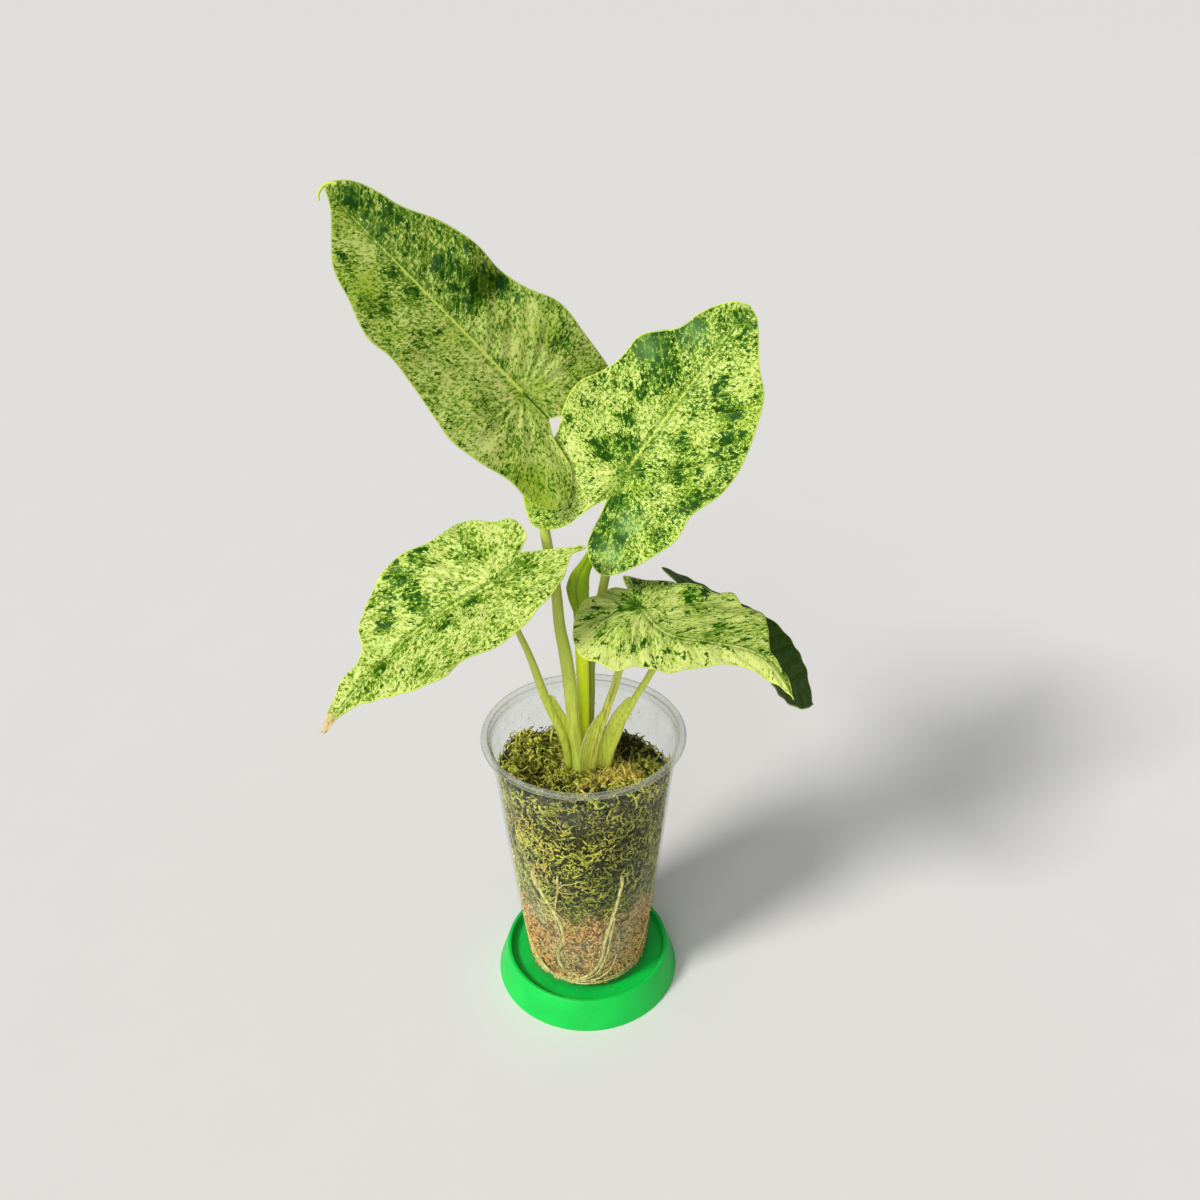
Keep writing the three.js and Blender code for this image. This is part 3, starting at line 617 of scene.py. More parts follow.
class Shell:
    """Points, faces and per-point fields that make up a piece, in the cup's millimetres."""

    def __init__(self):
        self.points = []
        self.faces = []
        self.fields = {}
        self.total = 0

    def add(self, points, faces, **fields):
        """Adds a body. A field is one value, or a row, for all its points or for each."""
        points = np.asarray(points, float)
        self.points.append(points)
        self.faces.extend([[index + self.total for index in face] for face in faces])
        for name, values in fields.items():
            values = np.asarray(values, float)
            wide = values.shape[-1] == 3 if values.ndim else False
            shape = (len(points), 3) if wide else (len(points),)
            self.fields.setdefault(name, []).append(np.broadcast_to(values, shape))
        self.total += len(points)

    def piece(self, name, slot, nodes, material):
        """Makes the piece in the scene's metres, riding on the root body"""
        points = np.vstack(self.points) * MM + cup_axis()
        mesh = bpy.data.meshes.new(name)
        mesh.from_pydata(points.tolist(), [], self.faces)
        mesh.polygons.foreach_set("use_smooth", np.ones(len(mesh.polygons), bool))
        for field, parts in self.fields.items():
            values = np.concatenate(parts)
            kind, key = ("FLOAT_VECTOR", "vector") if values.ndim == 2 else ("FLOAT", "value")
            mesh.attributes.new(field, kind, "POINT").data.foreach_set(key, values.ravel())
        mesh.materials.append(material)
        mesh.validate()
        made = put_in_scene(name, mesh)
        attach(made, BODY)
        if nodes:
            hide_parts(*nodes)


def rings_to_faces(rings, sides, capped=True):
    """Faces of a tube through closed rings, with flat ends"""
    faces = []
    for ring in range(rings - 1):
        start = ring * sides
        for side in range(sides):
            a = start + side
            b = start + (side + 1) % sides
            faces.append([a, b, b + sides, a + sides])
    if capped:
        faces.append(list(range(sides - 1, -1, -1)))
        faces.append([(rings - 1) * sides + side for side in range(sides)])
    return faces


def rounded(profile, steps=4):
    """Profile with its corners rounded by the radius that each point gives"""
    points = []
    for index, (radius, height, corner) in enumerate(profile):
        here = np.array([radius, height], float)
        if corner == 0 or index in (0, len(profile) - 1):
            points.append(here)
            continue
        before = unit(np.array(profile[index - 1][:2], float) - here)
        after = unit(np.array(profile[index + 1][:2], float) - here)
        half = math.acos(max(-1, min(1, float(before @ after)))) / 2
        reach = corner / math.tan(half)
        for part in np.linspace(0, 1, steps + 1):
            near = here + before * reach * (1 - part) ** 2 + after * reach * part ** 2
            points.append(near)
    return np.array(points)


def fanned(rings, low, high):
    """Body of stacked rings, closed by a fan to a point on the axis at each end"""
    count, sides = np.shape(rings)[:2]
    faces = rings_to_faces(count, sides, capped=False)
    middle = count * sides
    last = middle - sides
    for side in range(sides):
        after = (side + 1) % sides
        faces.append([middle, after, side])
        faces.append([middle + 1, last + side, last + after])
    return np.vstack([*rings, [[0, 0, low], [0, 0, high]]]), faces


def turned(profile, sides):
    """Body of revolution from a profile whose first and last points are on the axis"""
    rings = [polar(radius, around(sides), height) for radius, height in profile[1:-1]]
    return fanned(rings, profile[0][1], profile[-1][1])


def swept(centres, first, second, x, y):
    """Rings of points about centres, x along the first axis and y along the second"""
    return centres[:, None] + x[..., None] * first[:, None] + y[..., None] * second[:, None]


def path_through(stations, parts):
    """Centres, further columns of the stations and section axes along a curve"""
    stations = np.array(stations, float)
    path = Curve(stations[:, :3])
    count = np.arange(len(stations))
    more = [np.interp(parts * count[-1], count, column) for column in stations[:, 3:].T]
    tangents = path.tangents(parts)
    first = unit(np.array([1.0, 0, 0]) - tangents * tangents[:, :1])
    return path.at(parts), more, first, np.cross(tangents, first)


def sheet(grid, thickness):
    """Closed thin body from a grid of points [rows, columns, 3], with its middle on the grid"""
    rows, width = grid.shape[:2]
    down, across = np.gradient(grid, axis=(0, 1))
    half = unit(np.cross(across, down) + 1e-12) * thickness[..., None] / 2
    points = np.concatenate([(grid + half).reshape(-1, 3), (grid - half).reshape(-1, 3)])
    total = rows * width
    faces = []
    for row in range(rows - 1):
        for column in range(width - 1):
            a = row * width + column
            b = a + width
            faces.append([a, b, b + 1, a + 1])
            faces.append([total + a, total + a + 1, total + b + 1, total + b])
    index = np.arange(total).reshape(rows, width)
    border = np.concatenate([index[0], index[1:, -1], index[-1, -2::-1], index[-2:0:-1, 0]])
    border = border.tolist()
    for here, after in zip(border, border[1:] + border[:1]):
        faces.append([here, after, total + after, total + here])
    return points, faces


def tube(centres, radii, sides):
    """Tube through centres, with a ring of sides about each"""
    tangents = unit(np.gradient(centres, axis=0))
    first = np.array([1.0, 0, 0]) if abs(tangents[0][0]) < 0.8 else np.array([0, 1.0, 0])
    points = []
    for centre, tangent, radius in zip(centres, tangents, radii):
        first = unit(first - tangent * (first @ tangent))
        second = np.cross(tangent, first)
        for angle in around(sides):
            points.append(centre + radius * (math.cos(angle) * first + math.sin(angle) * second))
    return np.array(points), rings_to_faces(len(centres), sides)


# Materials

class Value:
    """A number that varies over a surface. Arithmetic on it adds Math nodes."""

    def __init__(self, paint, socket):
        self.paint = paint
        self.socket = socket

    def __add__(self, other):
        return self.paint.maths("ADD", self, other)

    def __radd__(self, other):
        return self.paint.maths("ADD", other, self)

    def __sub__(self, other):
        return self.paint.maths("SUBTRACT", self, other)

    def __rsub__(self, other):
        return self.paint.maths("SUBTRACT", other, self)

    def __mul__(self, other):
        return self.paint.maths("MULTIPLY", self, other)

    def __rmul__(self, other):
        return self.paint.maths("MULTIPLY", other, self)

    def __truediv__(self, other):
        return self.paint.maths("DIVIDE", self, other)

    def __rtruediv__(self, other):
        return self.paint.maths("DIVIDE", other, self)

    def __pow__(self, other):
        return self.paint.maths("POWER", self, other)

    def __abs__(self):
        return self.paint.maths("ABSOLUTE", self)


class Paint:
    """A material and the nodes that are added to it."""

    def __init__(self, name):
        self.material = bpy.data.materials.new(name)
        self.material.use_nodes = True
        self.tree = self.material.node_tree
        self.tree.nodes.clear()

    def node(self, kind, settings, sockets, output=0):
        made = self.tree.nodes.new(kind)
        for name, setting in settings.items():
            setattr(made, name, setting)
        for name, value in sockets.items():
            if isinstance(value, Value):
                self.tree.links.new(value.socket, made.inputs[name])
            else:
                made.inputs[name].default_value = value
        return Value(self, made.outputs[output]) if made.outputs else made

    def maths(self, operation, *values):
        return self.node("ShaderNodeMath", {"operation": operation}, dict(enumerate(values)))

    def fields(self, name):
        """Three numbers that the mesh carries, and all three as a vector"""
        vector = self.node("ShaderNodeAttribute", {"attribute_name": name}, {}, "Vector")
        parts = [
            self.node("ShaderNodeSeparateXYZ", {}, {0: vector}, axis) for axis in range(3)
        ]
        return [*parts, vector]

    def place(self):
        """Place on the object, in millimetres"""
        here = self.node("ShaderNodeTexCoord", {}, {}, "Object")
        return self.node("ShaderNodeVectorMath", {"operation": "SCALE"}, {0: here, 3: 1 / MM})

    def moved(self, vector, direction, amount):
        sockets = {0: direction, 1: (amount, amount, amount), 2: vector}
        return self.node("ShaderNodeVectorMath", {"operation": "MULTIPLY_ADD"}, sockets)

    def stretched(self, vector, factors):
        return self.node("ShaderNodeVectorMath", {"operation": "MULTIPLY"}, {0: vector, 1: factors})

    def noise(self, vector, scale, detail=2, roughness=0.5):
        sockets = {
            "Vector": vector, "Scale": scale, "Detail": detail, "Roughness": roughness,
        }
        return self.node("ShaderNodeTexNoise", {}, sockets)

    def between(self, value, low, high):
        """0 below low and 1 above high, with a smooth change"""
        sockets = {"Value": value, "From Min": low, "From Max": high}
        return self.node("ShaderNodeMapRange", {"interpolation_type": "SMOOTHSTEP"}, sockets)

    def mix(self, factor, first, second):
        sockets = {0: factor, 6: opaque(first), 7: opaque(second)}
        return self.node("ShaderNodeMix", {"data_type": "RGBA"}, sockets, 2)

    def bump(self, height, strength, distance):
        sockets = {"Height": height, "Strength": strength, "Distance": distance * MM}
        return self.node("ShaderNodeBump", {}, sockets)

    def principled(self, **sockets):
        named = {name.replace("_", " "): value for name, value in sockets.items()}
        return self.node("ShaderNodeBsdfPrincipled", {}, named)

    def finish(self, surface):
        self.node("ShaderNodeOutputMaterial", {}, {"Surface": surface})
        return self.material

    def skin(self, **sockets):
        """Ends the material with one Principled shader"""
        return self.finish(self.principled(**sockets))


def opaque(shade):
    """Colour with its alpha, or a socket as it is"""
    return shade if isinstance(shade, Value) else (*shade[:3], 1)


def scaled(shade, factor):
    return [channel * factor for channel in shade]


def settings():
    return bpy.context.scene.alocasia


# Stand and cup

def stand_plastic(pot):
    paint = Paint("stand_plastic")
    place = paint.place()
    cloudy = paint.noise(place, 0.05, 2)
    grain = paint.noise(place, 2.2, 3)
    scuffs = paint.between(paint.noise(paint.stretched(place, (0.5, 0.5, 3)), 0.9, 4), 0.6, 0.75)
    darker, lighter = scaled(pot.stand, 0.94), scaled(pot.stand, 1.08)
    tone = paint.mix(paint.between(cloudy, 0.35, 0.65), darker, lighter)
    return paint.skin(
        Base_Color=paint.mix(scuffs * 0.1, tone, (0.5, 0.8, 0.55)),
        Roughness=pot.stand_roughness + 0.1 * grain + 0.12 * scuffs,
        Normal=paint.bump(grain, 0.06, 0.2),
        Specular_IOR_Level=0.3,
    )


def cup_plastic(pot):
    """Clear where it faces the eye, with fog, scuffs and dirt, a painted reflection darkening the wall
    seen edge on, and a painted highlight on the rim
    """
    paint = Paint("clear_plastic")
    place = paint.place()
    height = paint.node("ShaderNodeSeparateXYZ", {}, {0: place}, 2)
    fog = paint.between(paint.noise(place, 0.09, 4, 0.6), 0.4, 0.75)
    streaks = paint.noise(paint.stretched(place, (1, 1, 0.16)), 0.5, 4, 0.65)
    specks = paint.between(paint.noise(place, 1.1, 2), 0.64, 0.7)
    dirt = paint.between(paint.noise(place, 0.55, 3), 0.68, 0.71)
    upper = paint.between(height, *CUP_FOG)
    rim = paint.between(height, *CUP_BRIGHT)
    wear = fog * 0.5 + paint.between(streaks, 0.5, 0.72) * 0.5 + specks
    misty = paint.between(paint.noise(place, 0.045, 2), 0.52, 0.66) * 0.25
    haze = pot.haze * (0.1 + wear) * (0.01 + 0.5 * misty + upper) + dirt * upper * 0.4
    facing = paint.node("ShaderNodeLayerWeight", {}, {"Blend": 0.5}, "Facing")
    clear = paint.node("ShaderNodeBsdfTransparent", {}, {"Color": (0.97, 0.98, 0.97, 1)})
    # Painted reflection: the wall seen edge on turns a darker grey
    tone = paint.mix(facing ** 2, pot.plastic, pot.painted_edge_reflection)
    solid = paint.principled(
        Base_Color=paint.mix(dirt, tone, (0.08, 0.07, 0.03)),
        Roughness=pot.cup_roughness + 0.2 * fog,
        Normal=paint.bump(streaks, 0.05, 0.2),
        Specular_IOR_Level=1,
    )
    # Painted highlight: the rim is made more opaque, most where it is seen edge on
    cover = haze + 0.002 + 0.35 * facing ** 4 + rim * (0.05 + 0.9 * facing ** 2)
    return paint.finish(paint.node("ShaderNodeMixShader", {}, {0: cover, 1: clear, 2: solid}))


def cup_inside(height):
    slope = (CUP_WALL_TOP[0] - CUP_WALL_BOTTOM[0]) / (CUP_WALL_TOP[1] - CUP_WALL_BOTTOM[1])
    return CUP_WALL_BOTTOM[0] + slope * (height - CUP_WALL_BOTTOM[1]) - CUP_WALL


class ALOCASIA_OT_stand(Operator):
    """Green plastic stand under the cup"""

    bl_idname = "alocasia.stand"
    bl_label = "Stand"

    def execute(self, context):
        pot = settings().pot
        shell = Shell()
        shell.add(*turned(rounded(STAND_PROFILE), pot.sides))
        shell.piece("saucer_stand", "stand", ["green_stand"], stand_plastic(pot))
        return {"FINISHED"}


class ALOCASIA_OT_cup(Operator):
    """Clear cup with its rolled and ridged rim"""

    bl_idname = "alocasia.cup"
    bl_label = "Cup"

    def execute(self, context):
        pot = settings().pot
        radius, height, thick = CUP_RIM
        outer, top = CUP_WALL_TOP
        bead = []
        for angle in np.radians(np.arange(-150, 195, 10)):
            ridged = thick + CUP_RIDGE * math.cos(5 * angle)
            bead.append([radius + ridged * math.cos(angle), height + ridged * math.sin(angle), 0])
        profile = [
            *CUP_PROFILE_OUT,
            [*CUP_WALL_BOTTOM, 0.8],
            *[[cup_inside(z) + CUP_WALL + step, z, 0.3] for z, step in CUP_STEPS],
            [outer + 0.4, top + 1.2, 0.8],
            *bead,
            [outer - CUP_WALL, top + 0.4, 0.8],
            *[[cup_inside(z) + step, z, 0.3] for z, step in CUP_STEPS[::-1]],
            [cup_inside(CUP_FLOOR), CUP_FLOOR, 0.8],
            [0, CUP_FLOOR, 0],
        ]
        shell = Shell()
        shell.add(*turned(rounded(profile, 3), pot.sides))
        shell.piece("cup_wall", "cup", ["clear_cup"], cup_plastic(pot))
        return {"FINISHED"}


# Moss

def moss_height(x, y):
    level = MOSS_TOP - MOSS_SLOPE_BACK * y - MOSS_SLOPE_RIGHT * x
    return level + soft_marks(MOSS_MOUNDS, x, y)


def moss_material(name, bright, dark, dry, shade_colour):
    """Strands carry their own tone from 0 to 1, how dry they are and how much painted shade darkens them
    """
    paint = Paint(name)
    tone, dryness, shade, _ = paint.fields("strand")
    place = paint.place()
    mottled = paint.noise(place, 0.7, 3)
    base = paint.mix(paint.between(tone + 0.5 * (mottled - 0.5), 0.1, 0.9), dark, bright)
    base = paint.mix(paint.between(dryness, 0.3, 0.8), base, dry)
    return paint.skin(
        Base_Color=paint.mix(shade, base, shade_colour),
        Roughness=0.6 + 0.25 * mottled,
        Normal=paint.bump(paint.noise(place, 3, 2), 0.3, 0.3),
    )


def bed_material(moss):
    paint = Paint("moss_bed")
    place = paint.place()
    height = paint.node("ShaderNodeSeparateXYZ", {}, {0: place}, 2)
    clumps = paint.noise(place, 0.25, 5, 0.7)
    grains = paint.noise(place, 1.6, 3)
    lower = 1 - paint.between(height + 14 * (clumps - 0.5), *MOSS_CHANGE)
    # Painted shade: the living bed is mostly near black, and the aged bed dark brown between its grains
    green = paint.mix(paint.between(clumps, 0.4, 0.7) * 0.3, moss.bed, moss.olive)
    aged = paint.mix(paint.between(clumps, 0.4, 0.6), moss.rust, moss.aged)
    aged = paint.mix(paint.between(grains, 0.42, 0.56), moss.aged_bed, aged)
    return paint.skin(
        Base_Color=paint.mix(lower, green, aged),
        Roughness=0.9,
        Normal=paint.bump(grains + clumps, 0.6, 0.8),
    )


def moss_bed(bottom, top, seed):
    """Bumpy body of moss between a floor and a top, inside the cup's wall"""
    sides, levels, top_rings = 120, 28, 24
    gap = 2.3
    angles = around(sides)
    rings = [polar(inner * (cup_inside(bottom) - gap), angles, bottom) for inner in (0.3, 0.7)]
    edge = polar(cup_inside(100) - gap, angles, 0)
    tops = top(edge[:, 0], edge[:, 1]) - BED_DEPTH
    for level in range(levels + 1):
        heights = lerp(bottom, tops, level / levels)
        ring = polar(cup_inside(heights) - gap, angles, heights)
        if 0 < level < levels:
            ring[:, :2] *= (1 + 0.02 * rough(ring, 0.25, seed))[:, None]
        rings.append(ring)
    x, y, _ = rings[-1].T
    for inner in np.linspace(1, 0, top_rings, endpoint=False)[1:]:
        ring = columns(x * inner, y * inner, top(x * inner, y * inner) - BED_DEPTH)
        ring[:, 2] += 0.8 * rough(ring, 0.3, seed)
        rings.append(ring)
    return fanned(rings, bottom, top(0, 0) - BED_DEPTH)


def strands(starts, leans, lengths, radii, bends, coils, steps, keep):
    """Many tapered, leafy strands at once. A coil is the radius, the turns and the phase of
    a strand's curl. keep moves the middles of the strands to where they may be."""
    aside = [0.31, 0.74, 0.6]
    shares = np.linspace(0, 1, steps + 1)[None, :, None]
    path = leans[:, None] * shares + bends[:, None] * shares ** 2
    path = starts[:, None] + lengths[:, None, None] * path
    ahead = unit(leans)
    first = unit(np.cross(ahead, aside))
    second = np.cross(ahead, first)
    swirl = math.tau * coils[:, None, 1:2] * shares + coils[:, None, 2:]
    rise = coils[:, None, :1] * smooth(shares * 3)
    path = path + rise * (np.cos(swirl) * first[:, None] + np.sin(swirl) * second[:, None])
    path = keep(path)
    tangents = unit(np.gradient(path, axis=1) + 1e-9)
    first = unit(np.cross(tangents, aside))
    second = np.cross(tangents, first)
    places = np.arange(steps + 1)[None, :, None]
    corners = []
    for side, angle in enumerate(around(3)):
        leafy = np.where((places + side) % 3 == 0, 1.7, 0.75)
        thick = radii[:, None, None] * (1 - 0.6 * shares ** 2) * leafy
        corners.append(path + thick * (math.cos(angle) * first + math.sin(angle) * second))
    block = (steps + 1) * 3
    shifts = (np.arange(len(starts)) * block)[:, None, None]
    one = np.array(rings_to_faces(steps + 1, 3, capped=False))
    ends = np.array([[2, 1, 0], [steps * 3, steps * 3 + 1, steps * 3 + 2]])
    faces = (one[None] + shifts).reshape(-1, 4).tolist()
    faces += (ends[None] + shifts).reshape(-1, 3).tolist()
    return np.stack(corners, axis=2).reshape(-1, 3), faces, block


def wall_marks(starts, column):
    """Sum of the wall's marks at the feet of strands: 3 is dryness and 4 is tone"""
    turn = np.degrees(np.arctan2(starts[:, 1], starts[:, 0]))
    total = np.zeros(len(starts))
    for mark in WALL_MARKS:
        aside = np.radians((turn - mark[0] + 180) % 360 - 180) * WALL_RADIUS
        away = (aside ** 2 + (starts[:, 2] - mark[1]) ** 2) / mark[2] ** 2
        total = total + mark[column] * np.exp(-away)
    return total


def wall_strands(shell, draw, total, low, high, radius, length, tones):
    """Strands pressed to the inside of the cup's wall, between two heights"""
    angles = draw.uniform(0, math.tau, total)
    parts = draw.uniform(0, 1, total)
    edge = polar(cup_inside(100) - 2, angles, 0)
    tops = moss_height(edge[:, 0], edge[:, 1])
    border = MOSS_WAVE * rough(polar(WALL_RADIUS, angles, 0), 0.06, 2)
    ceiling = np.minimum(high + border, tops) if high else tops
    bottoms = low + (border if low > MOSS_BOTTOM + 1 else 0)
    heights = lerp(bottoms, ceiling, parts)
    radii = draw.uniform(0.6, 1.5, total) * radius
    depth = np.maximum(draw.uniform(0.5, 2.2, total), 1.5 * radii)
    starts = polar(cup_inside(heights) - depth, angles, heights)
    turn = draw.uniform(0, math.tau, total)
    leans = columns(-np.cos(turn) * np.sin(angles), np.cos(turn) * np.cos(angles), np.sin(turn))
    bends = draw.normal(0, 0.6, (total, 3))
    coils = columns(
        draw.uniform(0.2, 0.8, total), draw.uniform(0.6, 1.6, total), draw.uniform(0, 7, total),
    )
    lengths = draw.uniform(0.5, 1.4, total) * length

    def keep(path):
        lowest = MOSS_BOTTOM + 0.5
        heights_now = np.clip(path[..., 2:3], lowest, ceiling[:, None, None] + 1.5)
        flat = path[..., :2]
        away = np.linalg.norm(flat, axis=2, keepdims=True)
        wall = cup_inside(heights_now) - depth[:, None, None]
        wanted = np.clip(away, wall - 1.2, wall)
        return np.concatenate([flat * wanted / away, heights_now], axis=2)

    points, faces, block = strands(starts, leans, lengths, radii, bends, coils, 4, keep)
    tone, dry, shade = tones(starts, draw, total)
    # Painted shade on the strands that lie deeper
    shade = np.minimum(shade + 0.6 * (depth > 1.75), 1)
    shell.add(points, faces, strand=columns(tone, dry, shade).repeat(block, axis=0))


def living_tones(starts, draw, total):
    patches = rough(starts, 0.11, 3)
    marked = wall_marks(starts, 4)
    tone = np.clip(0.65 + 0.6 * patches + draw.normal(0, 0.35, total) + marked, 0, 1)
    dry = 0.12 + 0.8 * rough(starts, 0.08, 11) + draw.normal(0, 0.22, total)
    dry = np.clip(dry + wall_marks(starts, 3), 0, 1)
    shade = np.clip(draw.normal(0.05, 0.2, total) - 0.5 * patches - 0.5 * marked, 0, 0.85)
    return tone, dry, shade


def aged_tones(starts, draw, total):
    patches = rough(starts, 0.12, 6)
    tone = np.clip(0.68 + 0.5 * patches + draw.normal(0, 0.3, total), 0, 1)
    dry = np.clip(0.1 + draw.normal(0, 0.25, total) + wall_marks(starts, 3), 0, 1)
    shade = np.clip(draw.normal(-0.1, 0.25, total) - 0.3 * patches, 0, 0.8)
    return tone, dry, shade


class ALOCASIA_OT_moss(Operator):
    """Two beds of moss, the strands on top and the strands behind the wall"""

    bl_idname = "alocasia.moss"
    bl_label = "Moss"

    def execute(self, context):
        moss = settings().moss
        draw = np.random.default_rng(moss.seed)
        radius = moss.strand / MM
        bed = bed_material(moss)
        lower = moss_bed(MOSS_BOTTOM, lambda x, y: MOSS_SPLIT + BED_DEPTH + 0 * x, 2)
        upper = moss_bed(MOSS_SPLIT + 0.3, moss_height, 5)
        for layer, node, body in (
            ("aged_moss", "moss_lower", lower), ("living_moss", "moss_upper", upper),
        ):
            shell = Shell()
            shell.add(*body)
            shell.piece(f"{layer}_bed", layer, [node], bed)

        shell = Shell()
        wall_strands(
            shell, draw, moss.aged_strands, MOSS_BOTTOM + 0.5, MOSS_SPLIT - 3, radius * 1.7, 2.1,
            aged_tones,
        )
        aged = moss_material(
            "aged_moss_strands", moss.aged, moss.rust, moss.root, moss.aged_bed
        )
        shell.piece("aged_moss_strands", "aged_moss", [], aged)

        living = moss_material(
            "living_moss_strands", moss.living, moss.olive, moss.tan, moss.bed
        )
        shell = Shell()
        wall_strands(
            shell, draw, moss.wall_strands, MOSS_SPLIT - 6, None, radius * 0.95, 2.5, living_tones
        )
        shell.piece("living_moss_strands", "living_moss", [], living)

        shell = Shell()
        self.top_strands(shell, draw, moss.top_strands, radius)
        shell.piece("moss_tufts", "living_moss", [], living)
        return {"FINISHED"}

    def top_strands(self, shell, draw, total, radius):
        """Tufts of strands on the moss top: scattered ones, dry sprigs and placed green ones"""
        tufts, dry_total, green_total = 150, 260, 340
        inside = cup_inside(130)
        reach = (inside - 4.5) * np.sqrt(draw.uniform(0, 1, tufts))
        scattered = polar(reach, draw.uniform(0, math.tau, tufts), 0)
        scattered[:, 2] = draw.uniform(-1.5, 2.6, tufts)
        places = np.concatenate([scattered, DRY_SPRIGS, GREEN_TUFTS])
        later = tufts + len(DRY_SPRIGS)
        chosen = draw.integers(0, tufts, total)
        chosen[:dry_total] = draw.integers(tufts, later, dry_total)
        chosen[-green_total:] = draw.integers(later, len(places), green_total)
        sprig = (chosen >= tufts) & (chosen < later)
        rises = places[chosen, 2]
        aside = draw.normal(0, 1, (total, 2)) * np.where(sprig, 1.1, 2.2)[:, None]
        flat = places[chosen, :2] + aside
        away = np.linalg.norm(flat, axis=1)
        x, y = (flat * np.minimum(1, (inside - 2) / away)[:, None]).T
        swell = rises - 0.12 * (aside ** 2).sum(axis=1)
        lift = draw.uniform(-2.2, -0.4, total)
        starts = columns(x, y, moss_height(x, y) + lift + swell)
        leans = draw.normal(0, 0.55, (total, 3))
        leans[:, :2] += 0.22 * aside
        leans[:, 2] = np.abs(draw.normal(0.3, 0.3, total))
        bends = draw.normal(0, 0.5, (total, 3))
        bends[:, 2] -= 0.35
        coils = columns(
            draw.uniform(0.3, 1.1, total), draw.uniform(0.6, 1.9, total),
            draw.uniform(0, 7, total),
        )
        lengths = draw.uniform(1.8, 5, total)
        radii = draw.uniform(0.6, 1.3, total) * radius
        fronds = draw.uniform(0, 1, total) < 0.25
        lengths[fronds] *= 1.3
        radii[fronds] *= 2.2
        coils[fronds, 0] *= 1.5
        leans[fronds, 2] *= 0.5

        def keep(path):
            flat = path[..., :2]
            away = np.maximum(np.linalg.norm(flat, axis=2, keepdims=True), 1e-6)
            wall = cup_inside(path[..., 2:3]) - 1
            return np.concatenate([flat * np.minimum(away, wall) / away, path[..., 2:3]], axis=2)

        points, faces, block = strands(starts, leans, lengths, radii, bends, coils, 8, keep)
        tone, dry, shade = living_tones(starts, draw, total)
        # Raised tufts get a lighter tone; painted shade darkens strands set low and in hollows, less on
        # fronds and raised tufts, none on dry sprigs
        tone = np.clip(tone + 0.15 * (rises - 0.3) + 0.55 * fronds - 0.2, 0, 1)
        dry = np.where(sprig, 1, np.clip(dry - 0.15 + 0.2 * fronds, 0, 1))
        hollow = np.clip((MOSS_TOP - 2 - moss_height(x, y)) / 5, 0, 1)
        shade = shade + 0.6 * (lift < -1.4) * ~fronds - 0.3 * fronds + 0.1
        shade = np.where(sprig, 0, np.clip(shade + 0.8 * hollow - 0.1 * rises, 0, 0.9))
        shell.add(points, faces, strand=columns(tone, dry, shade).repeat(block, axis=0))


# Roots

def root_material(moss):
    paint = Paint("root_skin")
    streaks = paint.noise(paint.stretched(paint.place(), (1, 1, 0.3)), 0.8, 4)
    paler = [min(1, channel * 1.2 + 0.05) for channel in moss.root]
    browner = [moss.root[0] * 0.7, moss.root[1] * 0.6, moss.root[2] * 0.45]
    return paint.skin(
        Base_Color=paint.mix(paint.between(streaks, 0.35, 0.65), browner, paler),
        Roughness=0.45 + 0.2 * streaks,
        Normal=paint.bump(streaks, 0.25, 0.3),
    )


class ALOCASIA_OT_roots(Operator):
    """Corm in the moss, with its roots along the cup's wall"""

    bl_idname = "alocasia.roots"
    bl_label = "Corm and roots"

    def execute(self, context):
        moss = settings().moss
        shell = Shell()
        shell.add(*turned(rounded(CORM_PROFILE), 48))
        for heading, wall in ROOTS:
            route = [[radius, heading, z] for radius, z in ROOT_START]
            route += [[cup_inside(z) - ROOT_INSET, angle, z] for angle, z in wall]
            parts = np.linspace(0, 1, 110)
            reach, turn, height = Curve(route).at(parts).T
            reach = np.minimum(reach, cup_inside(height) - ROOT_INSET)
            centres = polar(reach, np.radians(turn), height)
            swell = 1.1 + 0.06 * rough(centres, 0.4, 8)
            shell.add(*tube(centres, swell * lerp(1, 0.55, parts ** 2), 10))
        for thickness, wall in THIN_ROOTS:
            parts = np.linspace(0, 1, 60)
            turn, height = Curve(wall).at(parts).T
            reach = cup_inside(height) - thickness - 0.15
            centres = polar(reach, np.radians(turn), height)
            shell.add(*tube(centres, thickness * lerp(1, 0.5, parts), 8))
        shell.piece("corm_with_roots", "root", ["corm_and_roots"], root_material(moss))
        return {"FINISHED"}


# Blades

